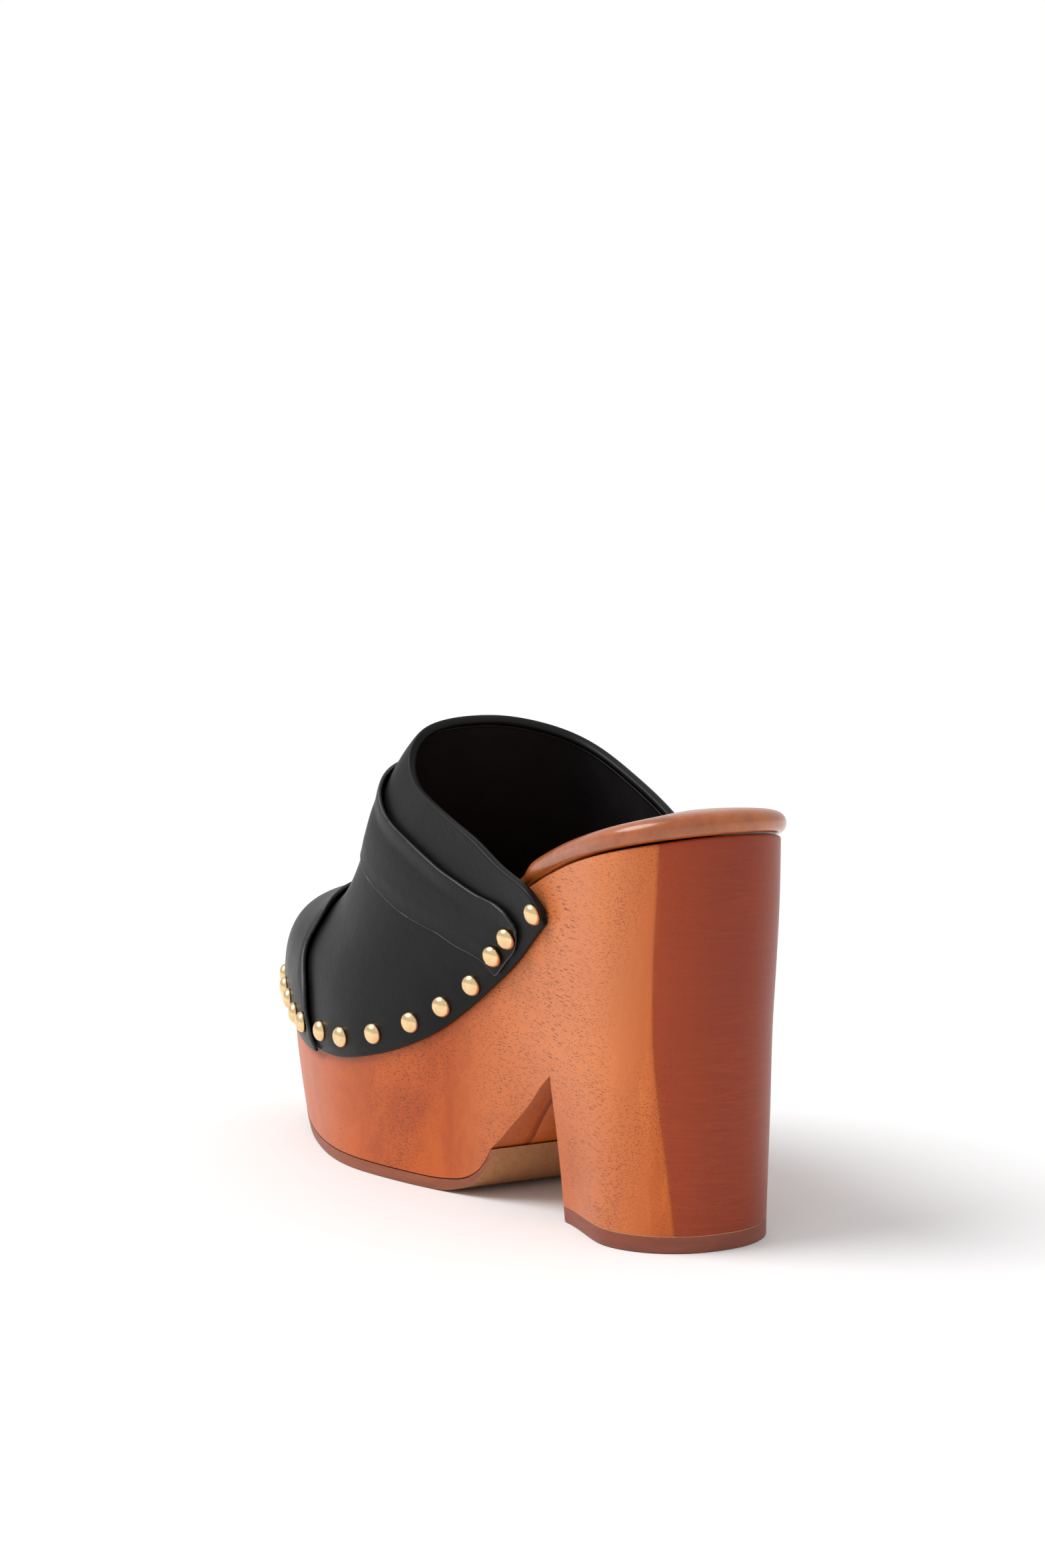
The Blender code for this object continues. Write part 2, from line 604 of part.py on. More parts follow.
u_all = np.linspace(0.004, 0.996, NU)
vamp = panel("vamp", u_all, 0.0, 1.0, ROWS, 0.0, LEATHER, BLACK)
lining_rows = [0.045] + ROWS[1:-1] + [0.975]
u_lining = u_all[(u_all > 0.055) & (u_all < 0.945)]
lining = panel("lining", u_lining, 0.0, 1.0, lining_rows, -0.6 - LINING, -0.6, BLACK_LINING)
END = [0.0412, 0.043, 0.048, 0.056, 0.0645, 0.071, 0.083, 0.1, 0.12, 0.145, 0.175, 0.21]
u_band = np.concatenate([END, u_all[(u_all > 0.22) & (u_all < 0.78)], 1 - np.array(END[::-1])])
band = panel("instep_band", u_band, band_low, band_high, 5, LEATHER + CLEAR + 0.15, LEATHER + CLEAR + OVERLAY, BLACK_BAND)
u_cap = np.concatenate([[0.2835, 0.288, 0.295], u_all[(u_all > 0.3) & (u_all < 0.7)], [0.705, 0.712, 0.7165]])
cap = panel("toe_cap", u_cap, cap_low, 1.0, 10, LEATHER + CLEAR + 0.35, LEATHER + CLEAR + OVERLAY, BLACK_CAP)

# ---------------------------------------------------------------- domed nails


def on_surface(station, height, near):
    """(u, v) of the base surface at a station and a height, on one side."""
    fu, fv, grid, normal = FINE
    miss = np.hypot(grid[..., 1] - station, grid[..., 2] - height)
    miss = miss + np.where((fu[:, None] < 0.5) == near, 0, 1000)
    i, j = np.unravel_index(np.argmin(miss), miss.shape)
    return fu[i], fv[j]


# (station, height) of the nails along one side, heel end first; the two on the band's end sit close
NAILS = [(58.5, 95.2), (73.4, 86.5), (81.5, 79.7), (94, 68.2), (106.8, 59.9), (119.8, 53.1),
         (136.9, 47.1), (154.3, 43.2), (169.5, 42.6), (184.1, 42.8), (196.6, 43.8), (208.9, 45.9),
         (220.5, 47.8)]
nails = [("lateral", n, *on_surface(s, z, True)) for n, (s, z) in enumerate(NAILS, 1)]
nails += [("medial", n, *on_surface(s, z, False)) for n, (s, z) in enumerate(NAILS, 1)]
first, last = nails[12], nails[25]
for k in range(1, 6):
    u = first[2] + (last[2] - first[2]) * k / 6
    nails.append(("toe", k, u, first[3] + 0.02 * math.sin(math.pi * k / 6)))

nail_holes = []
for place_name, number, u, v in nails:
    p, n = sample(np.array([u]), np.array([v]))
    p, n = p[0], n[0]
    on_band = 0.045 < u < 0.955 and band_low(u) - 0.12 < v < band_high(u) + 0.12 and number in (2, 3)
    on_cap = 0.29 < u < 0.71
    stack = LEATHER + (CLEAR + OVERLAY if on_band or on_cap else 0.0)
    base = place(p + n * (stack + 0.3))
    axis = place(p + n) - place(p)
    deep = stack + 1.7 + 5.0
    rows = [(0, -deep), (SHANK_R, -deep + 1.6), (SHANK_R, 0), (NAIL_R, 0)]
    for a in (35, 65):
        rows.append((NAIL_R * math.cos(math.radians(a)), NAIL_DOME * math.sin(math.radians(a))))
    rows.append((0, NAIL_DOME))
    lathe("nail_%s_%02d" % (place_name, number), [(r * mm, h * mm) for r, h in rows], base, axis, GOLD, 10)
    rows = [(0, -deep - 0.6), (HOLE_R, -deep - 0.6), (HOLE_R, 1.2), (0, 1.2)]
    nail_holes.append(lathe(None, [(r * mm, h * mm) for r, h in rows], base, axis, None, 6))
nail_cut = join_lathes("nail_cut", nail_holes)
for obj in (plank_near, plank_far, vamp, lining, band, cap):
    boolean(obj, nail_cut, "DIFFERENCE")
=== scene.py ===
"""Looks of the high-heeled platform clog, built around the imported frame.

Points are (side, station, height) in millimetres as in the CAD: side is positive towards the
wearer's left, stations run from the heel back (0) to the toe. place() turns them into metres.
"""

import math

import bmesh
import bpy
import numpy as np
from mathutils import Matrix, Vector, kdtree


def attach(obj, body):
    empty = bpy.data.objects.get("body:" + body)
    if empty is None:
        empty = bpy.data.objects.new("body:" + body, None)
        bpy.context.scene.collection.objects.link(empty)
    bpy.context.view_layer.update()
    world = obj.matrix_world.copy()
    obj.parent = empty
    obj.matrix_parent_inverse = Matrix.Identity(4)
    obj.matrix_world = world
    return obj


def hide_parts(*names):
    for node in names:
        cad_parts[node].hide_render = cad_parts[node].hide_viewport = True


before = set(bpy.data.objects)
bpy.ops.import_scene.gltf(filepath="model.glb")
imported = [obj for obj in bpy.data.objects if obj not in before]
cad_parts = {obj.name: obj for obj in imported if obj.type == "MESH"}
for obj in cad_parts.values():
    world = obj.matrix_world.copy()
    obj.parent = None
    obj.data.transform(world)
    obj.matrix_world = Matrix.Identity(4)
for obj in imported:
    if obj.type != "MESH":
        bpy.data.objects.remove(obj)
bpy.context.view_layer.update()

# ---------- dimensions, mm
SIZE = 0.96
STATION_MID = 128.01
SIDE_MID = -0.41
BREAST = 57.0        # station of the heel's front face
ARCH_TOP = 45.5      # height of that face
LIFT = 4.7
RUBBER = 3.5
GAP = 0.3            # between the wood and the rubber
LINING = 0.6
LEATHER = 1.5
OVERLAY = 1.3        # thickness of the band and the toe cap
CLEAR = 0.4          # between the vamp and what lies over it
REBATE = 2.6
BASE_OFF = 1.35      # the upper's base surface, outside the wood's wall
NAIL_R = 3.45
NAIL_DOME = 2.3
EASE = 0.9           # rounding along the wood's top edge
MID_Z = 60.0         # height at which places round the wall are looked up
TIP = 54.0           # station of the collar's two tips
MM = 0.001 * SIZE

# the sole's outline as (side, station), heel back to toe
NEAR = [(0, 0), (9.3, 0.9), (16.7, 3.7), (22.8, 8.2), (27.3, 14.3), (30.1, 21.7), (31, 31),
        (30.2, 43), (28.8, 56), (28, 70), (28.6, 83), (31, 96), (34.6, 109), (38.6, 122),
        (42, 136), (44.3, 150), (44.9, 164), (43.6, 178), (40.9, 191), (37.4, 203.5),
        (33, 215.5), (28, 227), (21.8, 237.5), (13.8, 245.8), (4.5, 250.6), (-3, 251.5)]
FAR = [(0, 0), (-9.3, 0.9), (-16.7, 3.7), (-22.8, 8.2), (-27.3, 14.3), (-30.1, 21.7), (-31, 31),
       (-30, 43), (-28.2, 56), (-26.8, 70), (-27, 83), (-29.2, 96), (-33, 109), (-37, 122),
       (-40.8, 136), (-43.8, 150), (-45.3, 164), (-45.3, 178), (-44, 191), (-41.3, 203.5),
       (-37.3, 215.5), (-31.5, 227.5), (-24.3, 238), (-16.3, 246.3), (-9.5, 250.5), (-3, 251.5)]
# heights along the stations, and how far the wall draws in at each height
WOOD_TOP = [(-5, 125.2), (0, 124), (24, 117.6), (50, 109.4), (68, 102), (85, 92), (100, 81),
            (115, 70), (130, 60.5), (145, 54), (160, 50.5), (175, 49.5), (190, 50), (205, 51.3),
            (220, 53), (235, 55), (256, 58)]
DRAW_BACK = [(0, 3.6), (14, 3.3), (38, 2.7), (64, 2.2), (84, 1.3), (100, 0.7), (118, 0.5),
             (130, 0.5)]
DRAW_BREAST = [(0, 7.1), (6, 6.4), (16, 5.3), (29, 3.6), (46, 1.2), (64, 0.4), (90, 0), (130, 0)]
DRAW_TOE = [(-5, 5.6), (0, 4.6), (10, 2.9), (20, 1.5), (30, 0.4), (40, 0), (130, 0)]
TREAD = [(88.4, 17), (90.4, 13), (93.4, 9), (97.4, 5.4), (102, 2.7), (107.5, 0.9), (113, 0.15),
         (119, 0), (130, 0), (175, 0), (188, 0), (203, 0.8), (218, 2.9), (232, 6.2), (244, 10),
         (258, 15.4)]
ARCH = [(57, 45.5), (64.9, 40.2), (73, 33), (81, 25.2), (85.4, 20.4)]
# side of the glue line at each height; topline as points; lower edge of the upper and nails
GLUE = [(-5, 14), (0, 14), (14, 15.3), (30, 17.2), (60, 20.2), (85, 21), (124, 20.2), (140, 20)]
TOPLINE = [(31.6, 54, 95.7), (32.2, 61, 101.7), (32.6, 70, 105), (33, 80, 108.4),
           (33.3, 92, 113.5), (33.2, 106, 117.7), (32.4, 122.3, 122.4), (30.6, 134.8, 126.8),
           (27.6, 142.7, 133.7), (22.3, 144.7, 140.6), (14, 144.2, 143.8), (4, 143.5, 144.6),
           (-6, 141.9, 144.1), (-16, 138.6, 142), (-24.5, 131.9, 138.6), (-29.5, 121, 133.9),
           (-31.4, 107, 128.2), (-32, 93, 122.6), (-32, 80, 116.7), (-31.8, 69, 110.4),
           (-31.6, 61, 103), (-31.2, 54, 95.7)]
EDGE = [(52, 94.6), (60.2, 88.7), (68.2, 82.4), (75.9, 76.2), (82.8, 71), (98.3, 59.5),
        (110, 51.5), (127, 43.4), (143, 38.6), (157, 35.8), (175, 35), (188, 35.2), (200, 36.2),
        (212, 37.4), (225, 39.2), (238, 41.4), (258, 44.5)]
NAILS = [(58.5, 95.2), (73.4, 86.5), (81.5, 79.7), (94, 68.2), (106.8, 59.9), (119.8, 53.1),
         (136.9, 47.1), (154.3, 43.2), (169.5, 42.6), (184.1, 42.8), (196.6, 43.8), (208.9, 45.9),
         (220.5, 47.8)]


def ramp(x, a, b):
    t = np.clip((np.asarray(x, float) - a) / (b - a), 0, 1)
    return t * t * (3 - 2 * t)


def smooth(table, x):
    """Cubic through a table of (x, y), with slopes taken from the neighbours."""
    xs, ys = np.array(table, float).T
    slope = np.gradient(ys, xs)
    x = np.clip(np.asarray(x, float), xs[0], xs[-1])
    i = np.clip(np.searchsorted(xs, x) - 1, 0, len(xs) - 2)
    h = xs[i + 1] - xs[i]
    t = (x - xs[i]) / h
    return ((2 * t**3 - 3 * t**2 + 1) * ys[i] + (t**3 - 2 * t**2 + t) * h * slope[i]
            + (-2 * t**3 + 3 * t**2) * ys[i + 1] + (t**3 - t**2) * h * slope[i + 1])


def knots(points, closed=False):
    """Points with the slopes that make a cubic through them smooth in curvature."""
    p = np.array(points, float)
    n = len(p)
    a = 4 * np.eye(n) + np.roll(np.eye(n), 1, 1) + np.roll(np.eye(n), -1, 1)
    right = 3 * (np.roll(p, -1, 0) - np.roll(p, 1, 0))
    if not closed:
        for k, other, step in ((0, 1, p[1] - p[0]), (n - 1, n - 2, p[-1] - p[-2])):
            a[k] = 0
            a[k, k], a[k, other], right[k] = 2, 1, 3 * step
    return p, np.linalg.solve(a, right), closed


def curve(knotted, t):
    p, m, closed = knotted
    t = np.asarray(t, float)
    if closed:
        t = np.mod(t, len(p))
        i = np.minimum(t.astype(int), len(p) - 1)
        j = (i + 1) % len(p)
    else:
        t = np.clip(t, 0, len(p) - 1)
        i = np.minimum(t.astype(int), len(p) - 2)
        j = i + 1
    u = (t - i)[..., None]
    return ((2 * u**3 - 3 * u**2 + 1) * p[i] + (u**3 - 2 * u**2 + u) * m[i]
            + (-2 * u**3 + 3 * u**2) * p[j] + (u**3 - u**2) * m[j])


def place(points):
    p = np.asarray(points, float)
    moved = np.stack([p[..., 0] - SIDE_MID, STATION_MID - p[..., 1], p[..., 2]], -1)
    return moved * MM


# ---------- mesh helpers
def mesh_object(name, points, faces, marks=None, mats=(), sharp=None):
    """A mesh object from points and faces, near-equal points welded, normals facing out.
    marks gives each face's material index."""
    co = place(points)
    key = np.round(co / 1e-7).astype(np.int64)
    _, first, index = np.unique(key, axis=0, return_index=True, return_inverse=True)
    index = index.reshape(-1)
    co = co[first]
    made, kept = [], []
    for n, face in enumerate(faces):
        loop = []
        for k in face:
            k = int(index[k])
            if k not in loop:
                loop.append(k)
        if len(loop) > 2:
            made.append(loop)
            kept.append(0 if marks is None else int(marks[n]))
    mesh = bpy.data.meshes.new(name)
    mesh.from_pydata([tuple(c) for c in co], [], made)
    mesh.update()
    mesh.polygons.foreach_set("material_index", kept)
    bm = bmesh.new()
    bm.from_mesh(mesh)
    bmesh.ops.recalc_face_normals(bm, faces=bm.faces)
    bm.to_mesh(mesh)
    bm.free()
    mesh.polygons.foreach_set("use_smooth", [True] * len(mesh.polygons))
    if sharp:
        mesh.set_sharp_from_angle(angle=math.radians(sharp))
    obj = bpy.data.objects.new(name, mesh)
    bpy.context.scene.collection.objects.link(obj)
    for mat in mats:
        mesh.materials.append(mat)
    return obj


class Patches:
    """Grids of points that are welded into one closed mesh."""

    def __init__(self):
        self.points, self.faces, self.marks, self.count = [], [], [], 0

    def add(self, grid, mark=0):
        grid = np.asarray(grid, float)
        a, b = grid.shape[:2]
        base = self.count
        self.points.append(grid.reshape(-1, 3))
        self.count += a * b
        for i in range(a - 1):
            for j in range(b - 1):
                k = base + i * b + j
                self.faces.append([k, k + b, k + b + 1, k + 1])
                self.marks.append(mark)

    def across(self, one, other, steps=1, mark=0):
        """A ruled grid between two rows of points."""
        t = np.linspace(0, 1, steps + 1)[None, :, None]
        self.add(one[:, None, :] * (1 - t) + other[:, None, :] * t, mark)

    def build(self, name, mats):
        return mesh_object(name, np.vstack(self.points), self.faces, self.marks, mats)


def bevel(obj, width, least=35.0, skip=()):
    """Rounds the edges sharper than least degrees, leaving those of faces with a mark in skip."""
    mesh = obj.data
    bm = bmesh.new()
    bm.from_mesh(mesh)
    weight = bm.edges.layers.float.new("bevel_weight_edge")
    for edge in bm.edges:
        if len(edge.link_faces) != 2 or any(f.material_index in skip for f in edge.link_faces):
            continue
        if edge.calc_face_angle(0) > math.radians(least):
            edge[weight] = 1.0
    bm.to_mesh(mesh)
    bm.free()
    mod = obj.modifiers.new("rounding", "BEVEL")
    mod.limit_method = "WEIGHT"
    mod.width = width * MM
    mod.segments = 3
    mod.harden_normals = True
    mod.use_clamp_overlap = True
    return obj


def finished(obj, nodes):
    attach(obj, "root")
    if nodes:
        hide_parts(*nodes)
    return obj


# ---------- procedural materials
class Shader:
    """A material with a Principled shader and short calls for the nodes that feed it."""

    def __init__(self, name, **uniform):
        self.mat = bpy.data.materials.new(name)
        self.mat.use_nodes = True
        self.tree = self.mat.node_tree
        self.bsdf = self.tree.nodes["Principled BSDF"]
        coords = self.tree.nodes.new("ShaderNodeTexCoord")
        self.coords = coords.outputs["Object"]
        for key, value in uniform.items():
            socket = self.bsdf.inputs[key.replace("_", " ")]
            socket.default_value = (*value, 1) if isinstance(value, tuple) else value

    def node(self, kind, inputs=(), **settings):
        made = self.tree.nodes.new("ShaderNode" + kind)
        for key, value in settings.items():
            setattr(made, key, value)
        for key, value in dict(inputs).items():
            socket = made.inputs[key]
            if isinstance(value, bpy.types.NodeSocket):
                self.tree.links.new(value, socket)
            else:
                socket.default_value = value
        return made

    def scaled(self, scale, shift=(0, 0, 0), turn=(0, 0, 0)):
        """Object coordinates times scale, which counts in cells per millimetre."""
        per_metre = tuple(1000.0 * s for s in scale)
        vector = self.coords
        if any(turn):
            vector = self.node("Mapping", {"Vector": vector, "Rotation": turn}).outputs[0]
        return self.node("Mapping", {"Vector": vector, "Location": shift,
                                     "Scale": per_metre}).outputs[0]

    def noise(self, scale, detail=3.0, rough=0.5, distort=0.0, **where):
        made = self.node("TexNoise", {"Vector": self.scaled(scale, **where), "Scale": 1.0,
                                      "Detail": detail, "Roughness": rough,
                                      "Distortion": distort})
        return made.outputs["Fac"]

    def cells(self, scale, feature="F1", **where):
        made = self.node("TexVoronoi", {"Vector": self.scaled(scale, **where), "Scale": 1.0,
                                        "Randomness": 1.0}, feature=feature)
        return made.outputs["Distance"]

    def ramp(self, value, stops, smooth=False):
        made = self.node("ValToRGB", {"Fac": value})
        ring = made.color_ramp
        ring.interpolation = "EASE" if smooth else "LINEAR"
        while len(ring.elements) < len(stops):
            ring.elements.new(0.5)
        for element, (position, colour) in zip(ring.elements, stops):
            element.position = position
            grey = (colour, colour, colour, 1) if not isinstance(colour, tuple) else (*colour, 1)
            element.color = grey
        return made.outputs["Color"]

    def mix(self, factor, a, b, blend="MIX"):
        made = self.node("Mix", data_type="RGBA", blend_type=blend)
        for socket, value in ((made.inputs[0], factor), (made.inputs[6], a), (made.inputs[7], b)):
            if isinstance(value, bpy.types.NodeSocket):
                self.tree.links.new(value, socket)
            elif isinstance(value, tuple):
                socket.default_value = (*value, 1)
            else:
                socket.default_value = value
        return made.outputs[2]

    def sums(self, operation, a, b, clamp=False):
        made = self.node("Math", {0: a, 1: b}, operation=operation, use_clamp=clamp)
        return made.outputs[0]

    def range(self, value, low, high, to_low=0.0, to_high=1.0):
        made = self.node("MapRange", {"Value": value, "From Min": low, "From Max": high,
                                      "To Min": to_low, "To Max": to_high})
        return made.outputs[0]

    def axis(self, name):
        """One object coordinate in millimetres."""
        split = self.node("SeparateXYZ", {0: self.coords})
        return self.sums("MULTIPLY", split.outputs[name], 1000.0)

    def bump(self, height, strength, deep, under=None):
        inputs = {"Height": height, "Strength": strength, "Distance": deep * 0.001}
        if under is not None:
            inputs["Normal"] = under
        return self.node("Bump", inputs).outputs[0]

    def set(self, **links):
        for key, value in links.items():
            self.tree.links.new(value, self.bsdf.inputs[key.replace("_", " ")])
        return self.mat


GLUE_SIDE_STAIN = (0.40, 0.050, 0.004)
FOREPART_STAIN = (0.70, 0.165, 0.016)
# painted highlight: a pale creamy patch standing in for the broad sheen of light on the lateral
# heel side
HEEL_SIDE_PAINTED_HIGHLIGHT = (0.72, 0.33, 0.15)


def wood(name, dark, mid, light, pore, layers):
    """Stained hardwood: fibres and pores run along the shoe, dropping a little to the heel.
    layers picks which way the growth rings stand: 0 on edge, giving upright bands, 1 flat,
    giving fine level lines. It also picks the plank's paler places; on the lateral plank that is
    a painted highlight."""
    m = Shader(name, Roughness=0.42, Coat_Weight=0.12, Coat_Roughness=0.25, Coat_IOR=1.45,
               Specular_IOR_Level=0.30, Sheen_Weight=0.03, Sheen_Roughness=0.4,
               Sheen_Tint=(1.0, 0.8, 0.6))
    lean = (0.05, 0.04, 0.03) if layers else (0.085, 0.03, 0.02)
    broad = m.noise((0.016, 0.006, 0.016), 2.0, 0.5, 0.4)
    if layers:
        rings = m.noise((0.05, 0.02, 0.85), 3.0, 0.65, 1.6, turn=lean)
        fine = m.noise((0.22, 0.06, 3.2), 3.0, 0.65, 1.0, turn=lean)
    else:
        rings = m.noise((0.16, 0.004, 0.018), 2.5, 0.5, 0.5, turn=lean)
        fine = m.noise((1.3, 0.03, 0.22), 3.0, 0.55, 0.3, turn=lean)
    fibre = m.noise((3.6, 0.12, 3.6), 3.0, 0.6, turn=lean)
    tone = m.sums("ADD", m.sums("MULTIPLY", rings, 0.4), m.sums("MULTIPLY", broad, 0.32))
    tone = m.sums("ADD", tone, m.sums("MULTIPLY", fine, 0.24 if layers else 0.14))
    tone = m.sums("ADD", tone, m.sums("MULTIPLY", fibre, 0.14))
    colour = m.ramp(tone, [(0.36, dark), (0.53, mid), (0.70, light)], True)
    # pores: long dashes along the fibre and short ones, crowded in some rings, dots on end grain
    crowd = m.noise((0.12, 0.006, 0.02), 2.5, 0.55, 0.3, turn=lean)
    ball = m.noise((0.02, 0.03, 0.012), 1.0, 0.5, shift=(0.0, 0.35, 0.0))
    bands = m.noise((0.04, 0.075, 0.010), 2.0, 0.5, 0.3, turn=(0.25, 0.0, 0.0))
    crowd = m.sums("ADD", m.sums("MULTIPLY", crowd, 0.5), m.sums("MULTIPLY", bands, 0.5))
    where = m.ramp(crowd, [(0.42, 0.10), (0.58, 1.0)])
    zone = m.ramp(ball, [(0.40, 0.0), (0.56, 1.0)])
    dashes = m.ramp(m.cells((1.75, 0.16, 1.75), turn=lean), [(0.19, 1.0), (0.30, 0.0)])
    specks = m.ramp(m.cells((2.0, 0.6, 2.0), shift=(3.1, 1.7, 0.4), turn=lean),
                    [(0.20, 1.0), (0.31, 0.0)])
    dashes = m.mix(1.0, dashes, m.ramp(zone, [(0.0, 1.0), (1.0, 0.3)]), "MULTIPLY")
    specks = m.mix(1.0, specks, m.ramp(zone, [(0.0, 0.6), (1.0, 1.0)]), "MULTIPLY")
    dots = m.mix(1.0, m.mix(1.0, dashes, specks, "LIGHTEN"), where, "MULTIPLY")
    if layers:      # the medial plank is paler beside the glue line and from the waist forward
        beside = m.range(m.axis("X"), 0.0, 19.0, 0.0, 0.5)
        behind = m.range(m.axis("Y"), 46.0, 96.0)
        colour = m.mix(beside, colour, GLUE_SIDE_STAIN)
        colour = m.mix(behind, m.mix(tone, mid, FOREPART_STAIN), colour)
    else:           # and the lateral one gets a painted highlight, a pale patch along the outer side of the heel and waist
        outer = m.range(m.axis("X"), 18.0, 30.0)
        behind = m.range(m.axis("Y"), 20.0, 52.0, 0.0, 0.34)
        colour = m.mix(m.sums("MULTIPLY", outer, behind), colour, HEEL_SIDE_PAINTED_HIGHLIGHT)
    colour = m.mix(m.sums("MULTIPLY", dots, 0.5 if layers else 0.8, True), colour, pore)
    rough = m.range(fibre, 0.3, 0.7, 0.34, 0.5)
    relief = m.bump(fibre, 0.10, 0.05)
    relief = m.bump(m.sums("SUBTRACT", 1.0, dots), 0.4, 0.07, relief)
    return m.set(Base_Color=colour, Roughness=rough, Normal=relief)


def black_leather(name, shade, rough, grain=0.22, crease=0.25):
    m = Shader(name, Roughness=rough, Coat_Weight=0.0, Coat_Roughness=0.3,
               Specular_IOR_Level=0.16)
    pebble = m.cells((1.5, 1.5, 1.5), "SMOOTH_F1")
    follicle = m.noise((4.5, 4.5, 4.5), 3.0, 0.6)
    cloud = m.noise((0.05, 0.05, 0.05), 3.0, 0.5, 0.6)
    folds = m.noise((0.09, 0.16, 0.3), 2.5, 0.55, 1.4)
    a = tuple(shade * f for f in (0.85, 0.85, 0.87))
    b = tuple(shade * f for f in (1.25, 1.24, 1.27))
    colour = m.mix(m.range(cloud, 0.3, 0.7), a, b)
    roughness = m.range(m.sums("ADD", cloud, m.sums("MULTIPLY", follicle, 0.4)), 0.4, 1.0,
                        rough - 0.06, rough + 0.07)
    relief = m.bump(folds, crease, 0.35)
    relief = m.bump(pebble, grain, 0.05, relief)
    relief = m.bump(follicle, grain * 0.8, 0.03, relief)
    return m.set(Base_Color=colour, Roughness=roughness, Normal=relief)


def edge_paint(name):
    m = Shader(name, Roughness=0.28, Specular_IOR_Level=0.6)
    fuzz = m.noise((1.4, 1.4, 1.4), 4.0, 0.6)
    colour = m.mix(m.range(fuzz, 0.35, 0.7), (0.010, 0.010, 0.010), (0.030, 0.029, 0.029))
    return m.set(Base_Color=colour, Roughness=m.range(fuzz, 0.3, 0.7, 0.22, 0.42),
                 Normal=m.bump(fuzz, 0.4, 0.12))


def tan_leather(name):
    m = Shader(name, Roughness=0.3, Coat_Weight=0.6, Coat_Roughness=0.16,
               Specular_IOR_Level=0.5)
    cloud = m.noise((0.035, 0.035, 0.035), 3.0, 0.55, 0.8)
    mottle = m.noise((0.35, 0.35, 0.35), 3.0, 0.6)
    grain = m.cells((2.4, 2.4, 2.4), "SMOOTH_F1")
    pores = m.noise((5.0, 5.0, 5.0), 3.0, 0.6)
    tone = m.sums("ADD", m.sums("MULTIPLY", cloud, 0.6), m.sums("MULTIPLY", mottle, 0.4))
    colour = m.ramp(tone, [(0.32, (0.24, 0.050, 0.007)), (0.5, (0.36, 0.084, 0.012)),
                           (0.68, (0.46, 0.120, 0.020))])
    colour = m.mix(m.range(pores, 0.52, 0.7, 0.0, 0.35), colour, (0.14, 0.035, 0.008))
    relief = m.bump(mottle, 0.12, 0.2)
    relief = m.bump(grain, 0.3, 0.05, relief)
    relief = m.bump(pores, 0.25, 0.04, relief)
    return m.set(Base_Color=colour, Roughness=m.range(pores, 0.3, 0.7, 0.25, 0.4),
                 Normal=relief)


def rubber(name, dark, light):
    m = Shader(name, Roughness=0.5, Specular_IOR_Level=0.45)
    cloud = m.noise((0.06, 0.06, 0.3), 3.0, 0.6)
    speck = m.noise((2.2, 2.2, 2.2), 3.0, 0.7)
    sanding = m.noise((0.5, 0.5, 4.0), 2.0, 0.6)
    colour = m.mix(m.range(cloud, 0.3, 0.7), dark, light)
    worn = tuple(min(1, c * 2.0) for c in light)
    colour = m.mix(m.range(speck, 0.6, 0.75, 0.0, 0.3), colour, worn)
    relief = m.bump(sanding, 0.25, 0.05)
    relief = m.bump(speck, 0.3, 0.04, relief)
    return m.set(Base_Color=colour, Roughness=m.range(speck, 0.3, 0.7, 0.42, 0.6),
                 Normal=relief)


def fibrous(name, dark, light, stretch=(1.2, 1.2, 1.2)):
    """Raw split or fibre surface: worn edge lines, the sole's underside, foam."""
    m = Shader(name, Roughness=0.8, Specular_IOR_Level=0.3)
    threads = m.noise(stretch, 4.0, 0.65, 0.6)
    cloud = m.noise((0.04, 0.04, 0.04), 3.0, 0.5)
    tone = m.sums("ADD", m.sums("MULTIPLY", threads, 0.6), m.sums("MULTIPLY", cloud, 0.4))
    colour = m.ramp(tone, [(0.35, dark), (0.65, light)])
    return m.set(Base_Color=colour, Roughness=m.range(threads, 0.3, 0.7, 0.7, 0.92),
                 Normal=m.bump(threads, 0.5, 0.12))


def metal(name, dark, light, rough, scratch=0.06):
    m = Shader(name, Metallic=1.0, Roughness=rough)
    tarnish = m.noise((0.5, 0.5, 0.5), 3.0, 0.6)
    hair = m.noise((9.0, 1.2, 2.5), 2.0, 0.6, turn=(0.4, 0.9, 0.3))
    colour = m.mix(m.range(tarnish, 0.3, 0.7), dark, light)
    return m.set(Base_Color=colour, Roughness=m.range(hair, 0.3, 0.7, rough * 0.75, rough * 1.4),
                 Normal=m.bump(hair, scratch, 0.01))


WOOD_LIGHT = wood("stained_wood_lateral", (0.38, 0.062, 0.007), (0.51, 0.097, 0.010),
                  (0.62, 0.142, 0.020), (0.085, 0.013, 0.005), 0)
WOOD_DARK = wood("stained_wood_medial", (0.190, 0.018, 0.001), (0.248, 0.0255, 0.001),
                 (0.315, 0.038, 0.002), (0.11, 0.014, 0.003), 1)
UPPER = black_leather("black_satin_leather", 0.006, 0.40)
COLLAR_LINING = black_leather("black_lining_leather", 0.012, 0.34, 0.2, 0.3)
PAINTED_EDGE = edge_paint("black_edge_paint")
TAN = tan_leather("tan_sock_leather")
SOLE_RUBBER = rubber("brown_sole_rubber", (0.20, 0.050, 0.020), (0.28, 0.076, 0.032))
LIFT_RUBBER = rubber("brown_lift_rubber", (0.185, 0.042, 0.020), (0.25, 0.060, 0.029))
SOLE_UNDER = fibrous("buff_sole_underside", (0.34, 0.150, 0.060), (0.47, 0.225, 0.10),
                     (0.8, 0.2, 0.8))
WORN_EDGE = fibrous("worn_sole_edge", (0.33, 0.20, 0.11), (0.62, 0.46, 0.32))
JOINT = fibrous("glue_joint", (0.36, 0.15, 0.07), (0.52, 0.27, 0.14))
FOAM = fibrous("latex_foam", (0.62, 0.52, 0.36), (0.82, 0.74, 0.58), (2.5, 2.5, 2.5))
